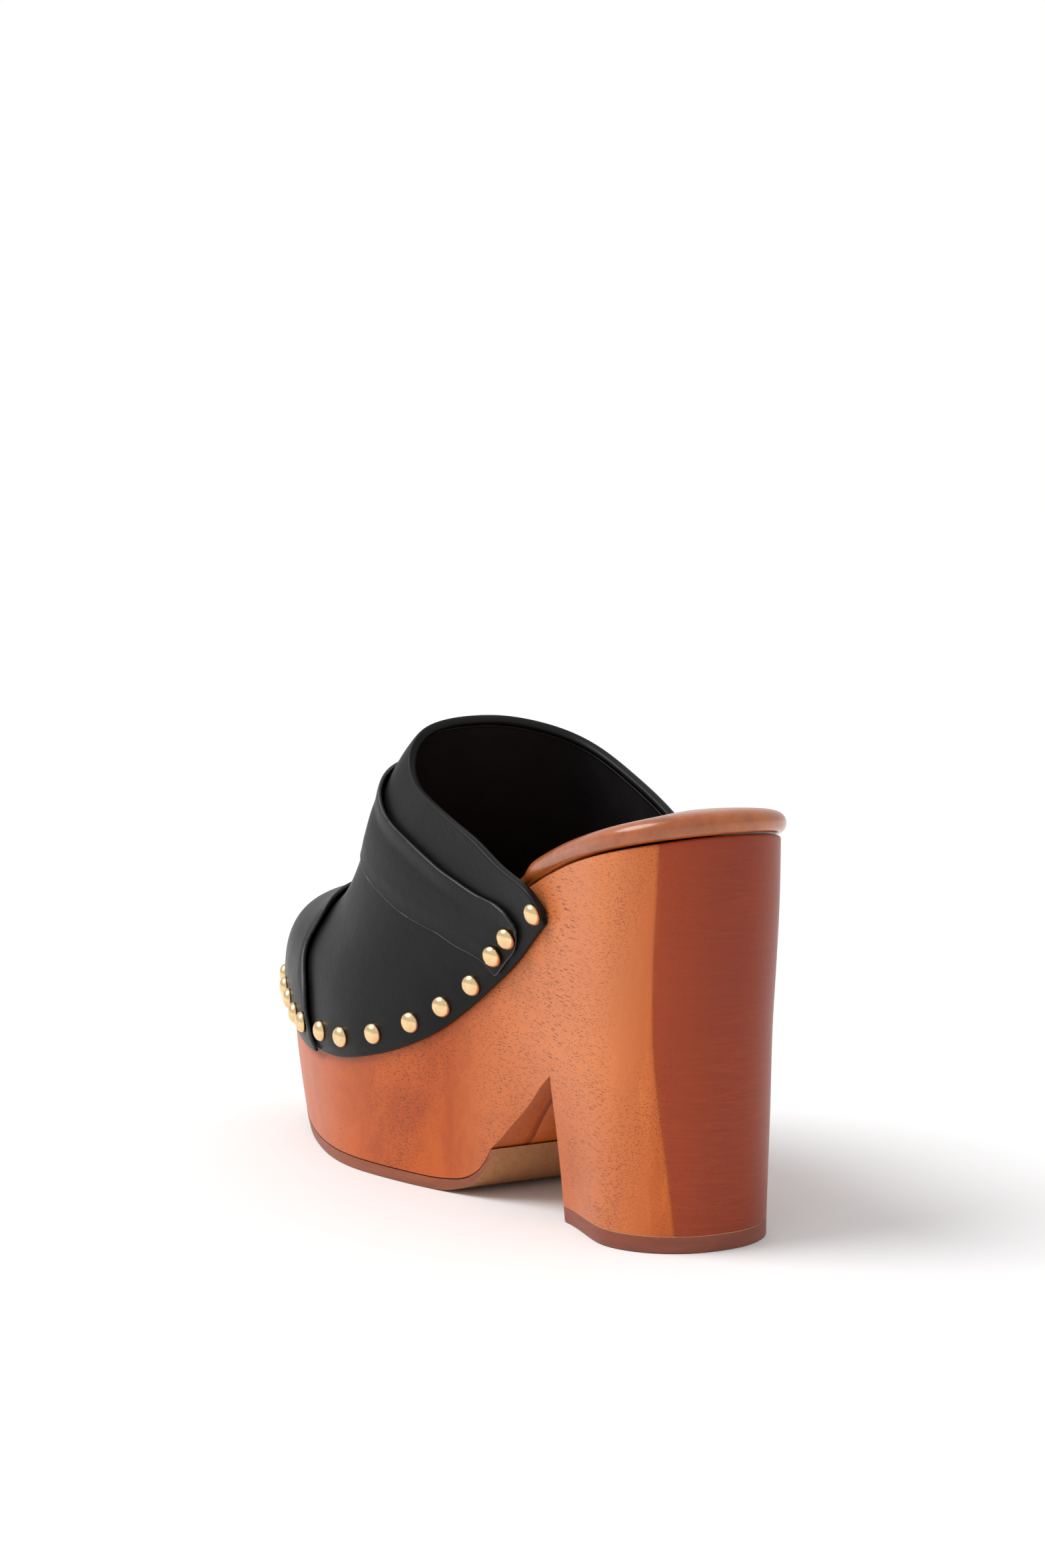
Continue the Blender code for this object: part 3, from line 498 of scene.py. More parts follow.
GOLD = metal("polished_gold_nail", (0.82, 0.57, 0.29), (0.92, 0.68, 0.38), 0.19)
STEEL = metal("plain_steel_nail", (0.42, 0.42, 0.43), (0.62, 0.62, 0.63), 0.36, 0.3)

# ---------- sole outline
LOOP = knots(NEAR + FAR[-2:0:-1], True)
ROUND = float(len(LOOP[0]))
TOE = ROUND / 2


def outline(g, z, offset=0.0):
    """(side, station, height) of the sole's wall. g counts round the sole: 0 at the heel back,
    TOE at the tip, and ROUND - g is the same place on the far side."""
    g, z, offset = np.broadcast_arrays(*(np.asarray(v, float) for v in (g, z, offset)))

    def at(g):
        xy = curve(LOOP, g)
        side, station = xy[..., 0], xy[..., 1]
        back, breast, toe = smooth(DRAW_BACK, z), smooth(DRAW_BREAST, z), smooth(DRAW_TOE, z)
        w = ramp(station, 22, 56)
        heel = (back * (1 - w) + breast * w) * (1 - ramp(station, 66, 88))
        ball = toe * (0.1 + 0.9 * ramp(station, 150, 215)) * ramp(station, 88, 120)
        centre = -3.0 * ramp(station, 200, 250)
        side = centre + (side - centre) * (1 - heel / 31.0 - ball / 44.0)
        station = (station + back * (1 - ramp(station, 0, 40))
                   - toe * 1.5 * ramp(station, 195, 250))
        return np.stack([side, station], -1)

    here = at(g)
    along = at(g + 0.02) - at(g - 0.02)
    normal = np.stack([along[..., 1], -along[..., 0]], -1)
    normal /= np.linalg.norm(normal, axis=-1)[..., None]
    cut = REBATE * ramp(here[..., 1], 150, 215) * ramp(z - smooth(EDGE, here[..., 1]), -3.0, -0.8)
    here = here + normal * (offset - cut)[..., None]
    return np.concatenate([here, z[..., None]], -1)


def crossing(value, g, wanted):
    """The g at which value, rising or falling along g, equals wanted."""
    miss = value - wanted
    k = np.argmax(np.sign(miss[1:]) != np.sign(miss[:-1]))
    return g[k] + (g[k + 1] - g[k]) * miss[k] / (miss[k] - miss[k + 1])


def station_at(station, z=MID_Z):
    """g of a station on the near side."""
    g = np.linspace(0, TOE, 4001)
    return crossing(outline(g, z)[:, 1], g, station)


LEVELS = np.linspace(0, 130, 53)
heel_g, toe_g = np.linspace(0.5, 5.5, 1200), np.linspace(18, TOE, 1600)
G_BACK = np.array([crossing(outline(heel_g, z)[:, 0], heel_g, smooth(GLUE, z)) for z in LEVELS])
G_FRONT = np.array([crossing(outline(toe_g, z)[:, 0], toe_g, smooth(GLUE, z)) for z in LEVELS])
G_BREAST = station_at(BREAST)
K_BACK, K_BREAST, K_FRONT, K_TOE = 14, 54, 168, 196   # columns at which those places fall


def column(i, z):
    """g of column i, so that fixed columns follow the glue line and the heel breast."""
    a, b = np.interp(z, LEVELS, G_BACK), np.interp(z, LEVELS, G_FRONT)
    return np.select(
        [i <= K_BACK, i <= K_BREAST, i <= K_FRONT],
        [a * i / K_BACK,
         a + (G_BREAST - a) * (i - K_BACK) / (K_BREAST - K_BACK),
         G_BREAST + (b - G_BREAST) * (i - K_BREAST) / (K_FRONT - K_BREAST)],
        b + (TOE - b) * (i - K_FRONT) / (K_TOE - K_FRONT))


def sole_profile(extra):
    """Upper face of the forepart outsole raised by extra: stations and heights."""
    stations = np.concatenate([np.linspace(88.8, 118, 120), np.linspace(118.5, 258, 240)])
    low = np.maximum(smooth(TREAD, stations), 0)
    slope = np.gradient(low, stations)
    thick = 0.9 + (RUBBER - 0.9) * ramp(stations, 88, 111) + extra
    size = np.hypot(1, slope)
    return stations - thick * slope / size, low + thick / size


def under_table():
    """The wood's underside from the heel's breast to the toe: stations and heights."""
    s, z = sole_profile(GAP)
    arch_s = np.linspace(57, 85.4, 60)
    s, z = np.concatenate([arch_s, s]), np.concatenate([smooth(ARCH, arch_s), z])
    fine = np.linspace(57, 256, 1200)
    fitted = np.interp(fine, s, z)
    for _ in range(6):
        fitted[1:-1] = (fitted[:-2] + 2 * fitted[1:-1] + fitted[2:]) / 4
    return fine, fitted


UNDER = under_table()

# ---------- wooden planks
COLUMNS = np.arange(K_TOE + 1)
HEEL_COLUMNS = COLUMNS[:K_BREAST + 1]


def wood_grids():
    """The wood's walls above ARCH_TOP on both sides, and those of the heel below it."""
    top = smooth(WOOD_TOP, outline(column(COLUMNS, MID_Z), MID_Z)[:, 1])
    low = np.full(len(COLUMNS), ARCH_TOP)
    for _ in range(3):
        station = outline(column(COLUMNS, low), low)[:, 1]
        low = np.where(COLUMNS <= K_BREAST, ARCH_TOP, np.interp(station, *UNDER))
    t = np.linspace(0, 1, 38)
    turn = np.radians([22.5, 45, 67.5, 90])
    z = low[:, None] + (top - EASE - low)[:, None] * t
    z = np.concatenate([z, (top - EASE)[:, None] + EASE * np.sin(turn)], 1)
    off = np.concatenate([np.zeros_like(t), -EASE * (1 - np.cos(turn))])[None, :]
    near = outline(column(COLUMNS[:, None], z), z, off)
    far = outline(ROUND - column(COLUMNS[:, None], z), z, off)
    t = np.linspace(0, 1, 26)
    z = np.broadcast_to(LIFT + GAP + (ARCH_TOP - LIFT - GAP) * t, (K_BREAST + 1, len(t)))
    near_low = outline(column(HEEL_COLUMNS[:, None], z), z)
    far_low = outline(ROUND - column(HEEL_COLUMNS[:, None], z), z)
    for grid in (near, far, near_low, far_low):
        grid[K_BREAST, :, 1] = BREAST
    return near, far, near_low, far_low


def on_glue(grid, first, last):
    """The same stations and heights on the glue surface, keeping the columns at its ends."""
    moved = grid.copy()
    moved[first + 1:last, :, 0] = smooth(GLUE, grid[first + 1:last, :, 2])
    return moved


near_up, far_up, near_low, far_low = wood_grids()
glue_up = on_glue(near_up, K_BACK, K_FRONT)
glue_low = on_glue(near_low, K_BACK, K_BREAST + 1)


def plank(name, one_up, other_up, one_low, other_low, first, last, mats, glued):
    """A plank between two sets of walls; glued is "other" if the other ones are the hidden glue
    face, whose faces get the second material index."""
    p = Patches()
    s, h = slice(first, last + 1), slice(first, K_BREAST + 1)
    marks = (0, 1) if glued == "other" else (0, 0)
    p.add(one_up[s], marks[0])
    p.add(one_low[h], marks[0])
    p.add(other_up[s], marks[1])
    p.add(other_low[h], marks[1])
    p.across(one_up[s, -1], other_up[s, -1])
    p.across(one_low[h, 0], other_low[h, 0])
    f = slice(K_BREAST, last + 1)
    p.across(one_up[f, 0], other_up[f, 0], 4)
    p.across(one_low[K_BREAST], other_low[K_BREAST], 4)
    return p.build(name, mats)


lateral = plank("wood_plank_lateral", near_up, glue_up, near_low, glue_low, K_BACK, K_FRONT,
                [WOOD_LIGHT, WOOD_LIGHT], "other")
medial = plank("wood_plank_medial", far_up, glue_up, far_low, glue_low, 0, K_TOE,
               [WOOD_DARK, WOOD_DARK], None)
# the medial plank's glue wall: faces whose corners all lie on the glue surface
mesh = medial.data
for poly in mesh.polygons:
    pts = [mesh.vertices[k].co / MM for k in poly.vertices]
    if all(abs(c.x + SIDE_MID - float(smooth(GLUE, c.z))) < 1e-3 for c in pts):
        poly.material_index = 1
for obj, node, slot in ((lateral, "sole_plank_lateral", "wood_light"),
                        (medial, "sole_plank_medial", "wood_dark")):
    bevel(obj, 0.5, skip=(1,))
    finished(obj, [node])

# ---------- heel top lift and its joint


def heel_slab(name, rows, mats, front):
    """A slab under the heel; rows are (height, offset), front is its front face's station."""
    z, off = (np.array(v)[None, :] for v in zip(*rows))
    z = np.broadcast_to(z, (K_BREAST + 1, len(rows)))
    near = outline(column(HEEL_COLUMNS[:, None], z), z, off)
    far = outline(ROUND - column(HEEL_COLUMNS[:, None], z), z, off)
    near[K_BREAST, :, 1] = far[K_BREAST, :, 1] = front
    p = Patches()
    p.add(near)
    p.add(far)
    p.across(near[K_BREAST], far[K_BREAST], 6)
    p.across(near[:, 0], far[:, 0], 1)
    p.across(near[:, -1], far[:, -1], 1)
    return p.build(name, mats)


lift_rows = [(0.0, 0.0), (0.5, 0.05), (1.4, 0.05), (2.6, 0.03), (3.8, 0.0), (LIFT, 0.0)]
lift = heel_slab("heel_top_lift_rubber", lift_rows, [LIFT_RUBBER], BREAST - 0.1)
bevel(lift, 0.35, 50)
finished(lift, ["heel_top_lift"])
joint_rows = [(LIFT - 0.05, -0.10), (LIFT + 0.15, -0.03), (LIFT + GAP + 0.25, -0.10)]
joint = heel_slab("heel_lift_joint", joint_rows, [JOINT], BREAST - 0.2)
finished(joint, [])

# ---------- forepart outsole
REAR_S, REAR_Z = TREAD[0]
upper_s, upper_z = sole_profile(0.0)
UP_S = np.concatenate([[REAR_S], upper_s])
UP_Z = np.concatenate([[REAR_Z], upper_z])
keep = np.concatenate([[True], np.diff(UP_S) > 0])
UP_S, UP_Z = UP_S[keep], UP_Z[keep]


def outsole():
    t = np.linspace(0, 1, 190) ** 1.35
    rear = station_at(REAR_S, REAR_Z)
    g = rear + (TOE - rear) * t
    low, high = np.full(len(g), 5.0), np.full(len(g), 9.0)
    for _ in range(4):
        low = np.maximum(smooth(TREAD, outline(g, low)[:, 1]), 0)
        high = np.interp(outline(g, high)[:, 1], UP_S, UP_Z)
    high = np.maximum(high, low + 0.02)
    high[0] = low[0]
    w = np.linspace(0, 1, 7)
    z = low[:, None] * (1 - w) + high[:, None] * w
    swell = 0.10 * np.sin(np.pi * w)[None, :] - 0.02
    near, far = outline(g[:, None], z, swell), outline(ROUND - g[:, None], z, swell)
    p = Patches()
    p.add(near, 0)
    p.add(far, 0)
    p.across(near[:, 0], far[:, 0], 10, 1)
    p.across(near[:, -1], far[:, -1], 10, 0)
    return p.build("forepart_outsole", [SOLE_RUBBER, SOLE_UNDER, WORN_EDGE])


sole = outsole()
bevel(sole, 0.35, 40)
sole.modifiers["rounding"].material = 2
finished(sole, ["outsole_forepart"])

# ---------- padded sock and its foam
OUTER = [(-3.0, 0.15), (-0.5, 0.3), (1.5, 1.2), (2.4, 3.4), (1.7, 5.6), (-0.6, 7.0), (-5, 7.2),
         (-12, 6.5)]
PAD = [(-4.0, 0.5), (-2.1, 0.5), (-0.3, 1.6), (0.7, 3.4), (0.0, 4.9), (-1.8, 5.8), (-5.3, 6.1),
       (-12, 5.4)]


def cushion(name, section, mats, rows, dish):
    """A low cushion on the wood's top with the given edge section of (offset, rise). dish is how
    far its middle sinks."""
    line = curve(knots(section), np.linspace(0, len(section) - 1, rows))
    g = column(COLUMNS, MID_Z)
    station = outline(g, MID_Z)[:, 1]
    top = smooth(WOOD_TOP, station)
    spare = (1.3 * (1 - ramp(station, 12, 44)) - 3.9 * ramp(station, 64, 79)
             - 1.2 * ramp(station, 222, 245))

    def side(g):
        grid = outline(g[:, None], MID_Z, spare[:, None] + line[None, :, 0])
        grid[..., 2] = top[:, None] + line[None, :, 1]
        return grid

    near, far = side(g), side(ROUND - g)
    p = Patches()
    p.add(near)
    p.add(far)
    steps = 22
    t = np.linspace(0, 1, steps + 1)[None, :, None]
    a, b = near[:, -1][:, None, :], far[:, -1][:, None, :]
    grid = a * (1 - t) + b * t
    width = np.linalg.norm(near[:, -1] - far[:, -1], axis=1)
    grid[..., 2] -= dish * (np.sin(np.pi * t[..., 0]) ** 1.5) * ramp(width, 4, 40)[:, None]
    p.add(grid)
    p.across(near[:, 0], far[:, 0], 1)
    return p.build(name, mats)


sock = cushion("padded_sock_leather", OUTER, [TAN], 34, 1.4)
finished(sock, ["sock_cover"])
pad = cushion("footbed_foam", PAD, [FOAM], 16, 1.4)
finished(pad, ["footbed_pad"])

# ---------- the upper's base surface


def edge_curve(u):
    """Lower edge of the upper on the wood's wall, near tip round the toe to the far tip."""
    g = np.linspace(station_at(TIP), ROUND - station_at(TIP), 3000)
    walk = outline(g, MID_Z)[:, :2]
    out = outline(g, MID_Z, 1.0)[:, :2] - walk
    run = np.concatenate([[0], np.cumsum(np.linalg.norm(np.diff(walk, axis=0), axis=1))])
    middle = run[np.argmax(walk[:, 1])]
    want = np.where(u < 0.5, u / 0.5 * middle, middle + (u - 0.5) / 0.5 * (run[-1] - middle))
    xy = np.stack([np.interp(want, run, walk[:, k]) for k in (0, 1)], 1)
    normal = np.stack([np.interp(want, run, out[:, k]) for k in (0, 1)], 1)
    z = smooth(EDGE, xy[:, 1])
    return np.column_stack([xy + normal * BASE_OFF, z]), normal


def topline_curve(u):
    """The same round the collar: near tip, front, far tip."""
    dense = curve(knots(TOPLINE), np.linspace(0, len(TOPLINE) - 1, 3000))
    run = np.concatenate([[0], np.cumsum(np.linalg.norm(np.diff(dense, axis=0), axis=1))])
    middle = run[np.argmin(abs(dense[:, 0]) + 10 * (dense[:, 2] < 140))]
    want = np.where(u < 0.5, u / 0.5 * middle, middle + (u - 0.5) / 0.5 * (run[-1] - middle))
    return np.stack([np.interp(want, run, dense[:, k]) for k in range(3)], 1)


def base_surface(u, v):
    """Points for every u (round the shoe) and v (topline 0 to lower edge 1)."""
    low, normal = edge_curve(u)
    top = topline_curve(u)
    span = np.linalg.norm(low - top, axis=1)
    front = np.exp(-((u - 0.5) / 0.214) ** 2)
    out = np.column_stack([normal, np.zeros(len(u))])
    side = np.clip(top[:, 0] / 28, -1, 1)
    slope = (low - top) / span[:, None]
    down = np.column_stack([0.06 * side * (1 - front), np.zeros(len(u)), -np.ones(len(u))])
    instep = np.column_stack([0.30 * side, np.full(len(u), 0.86), np.full(len(u), -0.42)])
    away = (1 - front)[:, None]
    lead = down * away * 0.6 + slope * away * 0.4 + instep * front[:, None]
    lead /= np.linalg.norm(lead, axis=1)[:, None]
    p1 = top + lead * span[:, None] * (0.36 + 0.10 * front)[:, None]
    rise = np.array([0, 0, 1.0]) + out * 0.10
    p2 = low + rise * span[:, None] * (0.36 + 0.02 * front)[:, None]
    q = np.array([(top + 3 * p1) / 4, (p1 + p2) / 2, (3 * p2 + low) / 4])
    steep = np.column_stack([0.3 * side, np.full(len(u), 0.785), np.full(len(u), -0.74)])
    rise = np.column_stack([normal * 0.164, np.ones(len(u))])
    f = np.array([top + steep * span[:, None] * 0.277,
                  (top + low) / 2 + np.array([0, -36.6, -43.9]),
                  low + rise * span[:, None] * 0.439])
    q = q * (1 - front)[None, :, None] + f * front[None, :, None]
    v = v[None, :, None]
    top, low = top[:, None, :], low[:, None, :]
    q = q[:, :, None, :]
    w = 1 - v
    return (w**4 * top + 4 * w**3 * v * q[0] + 6 * w**2 * v**2 * q[1] + 4 * w * v**3 * q[2]
            + v**4 * low)


FU, FV = np.linspace(0, 1, 901), np.linspace(0, 1, 301)
BASE = base_surface(FU, FV)
BASE_N = np.cross(np.gradient(BASE, axis=0), np.gradient(BASE, axis=1))
BASE_N /= np.linalg.norm(BASE_N, axis=2)[:, :, None]
if BASE_N[450, 150, 1] < 0:
    BASE_N = -BASE_N


def sample(u, v):
    """Point and normal of the base surface at arrays of u and v."""
    x, y = np.clip(u, 0, 1) * (len(FU) - 1), np.clip(v, 0, 1) * (len(FV) - 1)
    i, j = np.minimum(x.astype(int), len(FU) - 2), np.minimum(y.astype(int), len(FV) - 2)
    a, b = (x - i)[..., None], (y - j)[..., None]

    def mix(f):
        return ((1 - a) * (1 - b) * f[i, j] + a * (1 - b) * f[i + 1, j]
                + (1 - a) * b * f[i, j + 1] + a * b * f[i + 1, j + 1])
    n = mix(BASE_N)
    return mix(BASE), n / np.linalg.norm(n, axis=-1)[..., None]


def on_surface(station, height, near):
    """(u, v) of the base surface at a station and a height, on one side."""
    miss = np.hypot(BASE[..., 1] - station, BASE[..., 2] - height)
    miss = miss + np.where((FU[:, None] < 0.5) == near, 0, 1000)
    i, j = np.unravel_index(np.argmin(miss), miss.shape)
    return FU[i], FV[j]


# borders of the overlays on the base surface as (u, v), near end to the middle
BAND_TOP = [(0.041, 0.66), (0.0445, 0.5), (0.06, 0.33), (0.075, 0.255), (0.091, 0.217),
            (0.118, 0.197), (0.164, 0.173), (0.198, 0.156), (0.246, 0.131), (0.311, 0.117),
            (0.352, 0.114), (0.42, 0.108), (0.5, 0.105)]
BAND_LOW = [(0.041, 0.66), (0.0412, 0.78), (0.0445, 0.89), (0.054, 0.915), (0.0645, 0.955),
            (0.071, 0.91), (0.083, 0.75), (0.106, 0.593), (0.138, 0.483), (0.171, 0.417),
            (0.22, 0.367), (0.269, 0.327), (0.328, 0.3), (0.4, 0.288), (0.5, 0.28)]
CAP_REAR = [(0.283, 1.0), (0.286, 0.975), (0.294, 0.92), (0.304, 0.863), (0.32, 0.807),
            (0.348, 0.748), (0.368, 0.69), (0.381, 0.63), (0.398, 0.575), (0.425, 0.545),
            (0.46, 0.53), (0.5, 0.525)]


def both_sides(table, dense):
    """A border given from the near end to the middle, carried on to the far end as (u, v)."""
    half = curve(knots(table), np.linspace(0, len(table) - 1, dense))
    half[:, 0] = np.minimum(half[:, 0], 0.5)
    other = half[-2::-1] * [-1, 1] + [1, 0]
    return np.vstack([half, other])


def even(border, count, crowd):
    """The border resampled at even steps of true length; crowd draws points to its ends."""
    p, _ = sample(border[:, 0], border[:, 1])
    run = np.concatenate([[0], np.cumsum(np.linalg.norm(np.diff(p, axis=0), axis=1))])
    t = np.linspace(0, 1, count)
    t = t - crowd * np.sin(2 * np.pi * t) / (2 * np.pi)
    want = t * run[-1]
    return np.stack([np.interp(want, run, border[:, k]) for k in (0, 1)], 1)


# ---------- nails' places
nail_uv = [("lateral", n, *on_surface(s, z, True)) for n, (s, z) in enumerate(NAILS, 1)]
nail_uv += [("medial", n, *on_surface(s, z, False)) for n, (s, z) in enumerate(NAILS, 1)]
first, last = nail_uv[12], nail_uv[25]
for k in range(1, 6):
    u = first[2] + (last[2] - first[2]) * k / 6
    nail_uv.append(("toe", k, u, first[3] + 0.02 * math.sin(math.pi * k / 6)))


def stack_height(u, number):
    """How far a nail's seat lies outside the base surface, on an overlay or sunk in the vamp."""
    over = number in (2, 3) or 0.29 < u < 0.71
    return LEATHER + (CLEAR + OVERLAY if over else -0.1)


nail_points = [sample(np.array([u]), np.array([v])) for _, _, u, v in nail_uv]
nail_points = [(p[0], n[0]) for p, n in nail_points]
NAIL_TREE = kdtree.KDTree(len(nail_points))
for k, (p, _) in enumerate(nail_points):
    NAIL_TREE.insert(p, k)
NAIL_TREE.balance()

# ---------- leather panels
BORDER_STEPS = np.array([0, 0.06, 0.2, 0.42, 0.75, 1.2, 1.8, 2.7])


def leather(name, one, other, rows, inner, outer, mats, square=2.6, shape=None, edge_mark=0.5,
            cap_ends=True, roll=0.85):
    """A leather panel between two borders in (u, v), with rounded cut edges.

    inner and outer are offsets from the base surface, or functions of (p, e) that give them;
    shape(p, e) moves both. e holds the distances to the first and the second border, and u.
    square and roll shape the rounded edge, edge_mark is the width of its painted strip, and
    cap_ends says whether the panel's two ends count as edges."""
    count = len(one)
    t = np.linspace(0, 1, 81)
    line = one[:, None, :] * (1 - t[None, :, None]) + other[:, None, :] * t[None, :, None]
    p, _ = sample(line[..., 0], line[..., 1])
    run = np.concatenate([np.zeros((count, 1)),
                          np.cumsum(np.linalg.norm(np.diff(p, axis=1), axis=2), axis=1)], 1)
    length = np.maximum(run[:, -1], 1e-6)
    steps = BORDER_STEPS[None, :] * np.minimum(1, length / (2.6 * BORDER_STEPS[-1]))[:, None]
    middle = np.linspace(0, 1, rows + 2)[1:-1]
    inside = steps[:, -1:] + (length[:, None] - 2 * steps[:, -1:]) * middle
    want = np.concatenate([steps, inside, length[:, None] - steps[:, ::-1]], 1)
    fraction = np.stack([np.interp(want[i], run[i] + t * 1e-9, t) for i in range(count)])
    uv = one[:, None, :] * (1 - fraction[..., None]) + other[:, None, :] * fraction[..., None]
    p, n = sample(uv[..., 0], uv[..., 1])

    def distances(borders):
        dense = np.vstack(borders)
        tree = kdtree.KDTree(len(dense))
        for k, q in enumerate(dense):
            tree.insert(q, k)
        tree.balance()
        flat = [tree.find(q)[2] for q in p.reshape(-1, 3)]
        return np.array(flat).reshape(p.shape[:2])

    def dense_line(uvs):
        k = np.linspace(0, len(uvs) - 1, max(12 * len(uvs), 200))
        pts = np.stack([np.interp(k, np.arange(len(uvs)), uvs[:, c]) for c in (0, 1)], 1)
        return sample(pts[:, 0], pts[:, 1])[0]

    lines = [dense_line(one), dense_line(other)]
    ends = [dense_line(uv[0]), dense_line(uv[-1])] if cap_ends else []
    e_one, e_other = distances([lines[0]]), distances([lines[1]])
    e = np.minimum(e_one, e_other)
    if ends:
        e = np.minimum(e, distances(ends))
    info = {"one": e_one, "other": e_other, "u": uv[..., 0]}
    d_in = inner(p, info) if callable(inner) else np.full(e.shape, float(inner))
    d_out = outer(p, info) if callable(outer) else np.full(e.shape, float(outer))
    mid, half = (d_in + d_out) / 2, (d_out - d_in) / 2
    r = np.clip(half, 0.2, roll)
    body = (1 - (1 - np.clip(e / r, 0, 1)) ** square) ** (1 / square)
    body[0] = body[-1] = body[:, 0] = body[:, -1] = 0
    move = shape(p, info) if shape else np.zeros(e.shape)
    skin = p + n * (mid + half * body + move)[..., None]
    back = p + n * (mid - half * body + move)[..., None]
    patches = Patches()
    patches.add(skin)
    cut = len(patches.faces)
    patches.add(back)
    near_edge = e < edge_mark
    b = e.shape[1]
    for k in range(cut):
        i, j = divmod(k, b - 1)
        corner = near_edge[i:i + 2, j:j + 2]
        patches.marks[k] = patches.marks[cut + k] = int(corner.all() and len(mats) > 1)
    return patches.build(name, mats)


def dimples(p, deep=0.35, reach=4.4):
    """Leather pulled down round each nail."""
    flat = np.array([NAIL_TREE.find(q)[2] for q in p.reshape(-1, 3)]).reshape(p.shape[:2])
    return -deep * np.exp(-(flat / reach) ** 2)


def run_of(u0, v0, v1, length):
    """v at a given true distance below v0 for each u."""
    t = np.linspace(0, 1, 400)
    v = v0 + (v1 - v0) * t
    p, _ = sample(np.repeat(u0[:, None], 400, 1), np.repeat(v[None, :], len(u0), 0))
    run = np.concatenate([np.zeros((len(u0), 1)),
                          np.cumsum(np.linalg.norm(np.diff(p, axis=1), axis=2), axis=1)], 1)
    return np.array([np.interp(length, run[i], v) for i in range(len(u0))])


u_line = np.linspace(0.004, 0.996, 330)
top_border = np.column_stack([u_line, np.zeros(len(u_line))])
low_border = np.column_stack([u_line, np.ones(len(u_line))])
TURN = 2.8        # depth of the turned edge inside the topline


def vamp_inner(p, e):
    return -1.5 * (1 - ramp(e["one"], TURN - 0.5, TURN + 0.1))


def vamp_shape(p, e):
    tuck = -0.9 * (1 - ramp(e["other"], 0.0, 4.5))
    wave = 0.16 * np.sin(e["u"] * 95.0) * (1 - ramp(e["other"], 0, 9))
    return dimples(p) + tuck + wave


vamp = leather("vamp_and_collar", top_border, low_border, 70, vamp_inner, LEATHER,
               [UPPER, PAINTED_EDGE], 2.2, vamp_shape, 0.0)
finished(vamp, ["vamp"])

lining_top = np.column_stack([u_line, run_of(u_line, 0.0, 1.0, TURN - 0.1)])
lining_low = np.column_stack([u_line, np.full(len(u_line), 0.972)])


def lining_shape(p, e):
    return -0.35 * (1 - ramp(e["one"], 0.0, 1.2))


lining = leather("collar_lining", lining_top, lining_low, 50, -0.45 - LINING, -0.45,
                 [COLLAR_LINING], 3.0, lining_shape)
finished(lining, ["lining"])

band_one = even(both_sides(BAND_TOP, 400), 300, 0.35)
band_two = even(both_sides(BAND_LOW, 400), 300, 0.35)


def band_outer(p, e):
    share = e["one"] / np.maximum(e["one"] + e["other"], 1e-6)
    return LEATHER + CLEAR + OVERLAY - 0.6 * ramp(share, 0.35, 1.0)


def band_shape(p, e):
    m = np.minimum(e["u"], 1 - e["u"])
    flare = (0.15 + 0.65 * ramp(m, 0.10, 0.24)) * (1 - ramp(e["one"], 0.0, 6.0))
    settle = -0.3 * (1 - ramp(e["other"], 0.0, 6.0))
    return flare + settle + dimples(p, 0.25)


band = leather("instep_band_leather", band_one, band_two, 34, LEATHER + CLEAR, band_outer,
               [UPPER, PAINTED_EDGE], 3.2, band_shape, 0.42, False, 0.42)
finished(band, ["instep_band"])

cap_one = even(both_sides(CAP_REAR, 400), 260, 0.3)
cap_two_u = np.linspace(cap_one[0, 0], cap_one[-1, 0], 600)
cap_two = even(np.column_stack([cap_two_u, np.ones(600)]), 260, 0.3)


def cap_shape(p, e):
    flare = 0.75 * (1 - ramp(e["one"], 0.0, 3.4)) * ramp(e["other"], 3, 14)
    valley = -0.3 * np.exp(-((e["one"] - 4.2) / 1.6) ** 2) * ramp(e["other"], 2, 9)
    tuck = -0.8 * (1 - ramp(e["other"], 0.0, 4.5))
    return flare + valley + tuck + dimples(p, 0.3)


cap = leather("toe_cap_leather", cap_one, cap_two, 40, LEATHER + CLEAR, LEATHER + CLEAR + OVERLAY,
              [UPPER, PAINTED_EDGE], 3.2, cap_shape, 0.5, False, 0.5)
finished(cap, ["toe_cap"])

# ---------- domed nails


def dome_nail(p, n, stack):
    """Points and faces of one nail: a domed head with a thin rim, and a shank that ends in the
    leather."""
    turn = Vector(n).to_track_quat("Z", "Y")
    arc = np.radians(np.linspace(0, 84, 13))
    rows = [(0, -stack - 0.95), (0.5, -stack - 0.85), (0.9, -stack - 0.6), (0.9, -0.25),
            (NAIL_R - 0.5, -0.25), (NAIL_R - 0.1, -0.18), (NAIL_R, 0.02)]
    rows += [(NAIL_R * math.cos(a) ** 0.92, 0.06 + NAIL_DOME * math.sin(a)) for a in arc[1:]]
    rows += [(0, 0.06 + NAIL_DOME * 1.004)]
    segments, points, faces, index = 40, [], [], []
    for r, h in rows:
        start = len(points)
        turns = [0.0] if r == 0 else [2 * math.pi * k / segments for k in range(segments)]
        for a in turns:
            q = turn @ Vector((r * math.cos(a), r * math.sin(a), h + stack))
            points.append(np.array(p) + np.array(q))
        index.append(list(range(start, len(points))))
    for low, high in zip(index, index[1:]):
        for k in range(segments):
            a, b = low[k % len(low)], low[(k + 1) % len(low)]
            c, d = high[(k + 1) % len(high)], high[k % len(high)]
            faces.append([x for i, x in enumerate((a, b, c, d)) if x not in (a, b, c, d)[:i]])
    return points, faces


for (row, number, u, v), (p, n) in zip(nail_uv, nail_points):
    points, faces = dome_nail(p, n, stack_height(u, number))
    name = "nail_%s_%02d" % (row, number)
    nail = mesh_object("gold_" + name, points, faces, None, [GOLD], 40)
    finished(nail, [name])

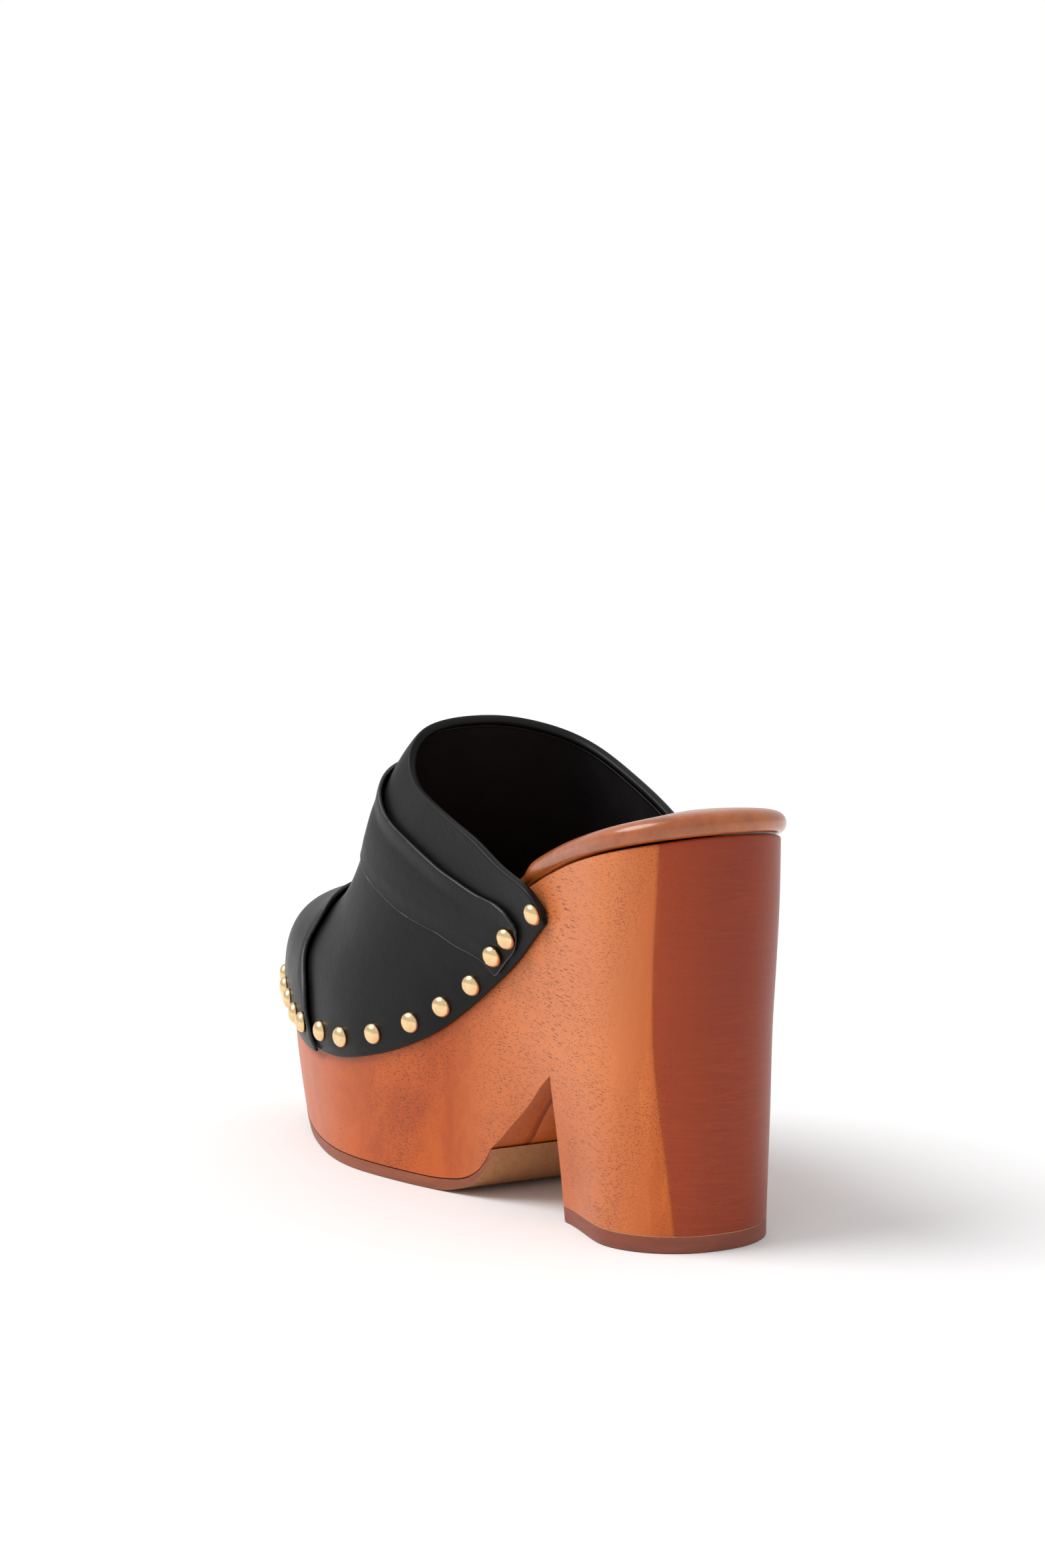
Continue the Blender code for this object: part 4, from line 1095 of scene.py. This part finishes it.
for k in range(1, 5):
    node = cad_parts["lift_nail_%d" % k]
    node.data.materials.clear()
    node.data.materials.append(STEEL)

# ---------- floor, light, camera


FLOOR_HALF, FLOOR_DROP = 3.0, 0.0002        # metres
AMBIENT, BACKDROP = 0.74, 1.0               # what lights the shoe, and the white backdrop itself
KEY_FROM, KEY_STRENGTH, KEY_WIDTH = (0.84, -0.42, 1.18), 2.1, 40
SENSOR, FOCAL = 36.0, 87.5
EYE = (597.4, -916.0, 275.5)                # side, station and height
EYE_DOWN, EYE_TURN = 7.15, 150.06           # degrees


def floor():
    size = FLOOR_HALF
    mesh = bpy.data.meshes.new("floor")
    mesh.from_pydata([(-size, -size, 0), (size, -size, 0), (size, size, 0), (-size, size, 0)], [],
                     [(0, 1, 2, 3)])
    obj = bpy.data.objects.new("floor", mesh)
    bpy.context.scene.collection.objects.link(obj)
    obj.location.z = -FLOOR_DROP
    m = Shader("white_floor", Base_Color=(0.9, 0.9, 0.9), Roughness=0.7, Specular_IOR_Level=0.2)
    mesh.materials.append(m.mat)


def sun_light(name, towards, strength, angle):
    """A distant light angle degrees wide; towards is the direction it comes from."""
    data = bpy.data.lights.new(name, "SUN")
    data.energy = strength
    data.angle = math.radians(angle)
    obj = bpy.data.objects.new(name, data)
    bpy.context.scene.collection.objects.link(obj)
    obj.rotation_euler = Vector(towards).to_track_quat("Z", "Y").to_euler()


floor()
scene = bpy.context.scene
world = bpy.data.worlds.new("studio")
scene.world = world
world.use_nodes = True
tree = world.node_tree
ray = tree.nodes.new("ShaderNodeLightPath")
strength = tree.nodes.new("ShaderNodeMapRange")
strength.inputs["To Min"].default_value = AMBIENT
strength.inputs["To Max"].default_value = BACKDROP
tree.links.new(ray.outputs["Is Camera Ray"], strength.inputs["Value"])
tree.links.new(strength.outputs[0], tree.nodes["Background"].inputs[1])
tree.nodes["Background"].inputs[0].default_value = (1, 1, 1, 1)
sun_light("key", KEY_FROM, KEY_STRENGTH, KEY_WIDTH)
scene.view_settings.view_transform = "Standard"
scene.view_settings.look = "None"

camera = bpy.data.cameras.new("camera")
camera.sensor_width = SENSOR
camera.lens = FOCAL
camera.clip_start, camera.clip_end = 0.05, 50
eye = bpy.data.objects.new("camera", camera)
scene.collection.objects.link(eye)
eye.location = place(EYE).tolist()
eye.rotation_euler = (math.radians(90 - EYE_DOWN), 0, math.radians(EYE_TURN))
scene.camera = eye
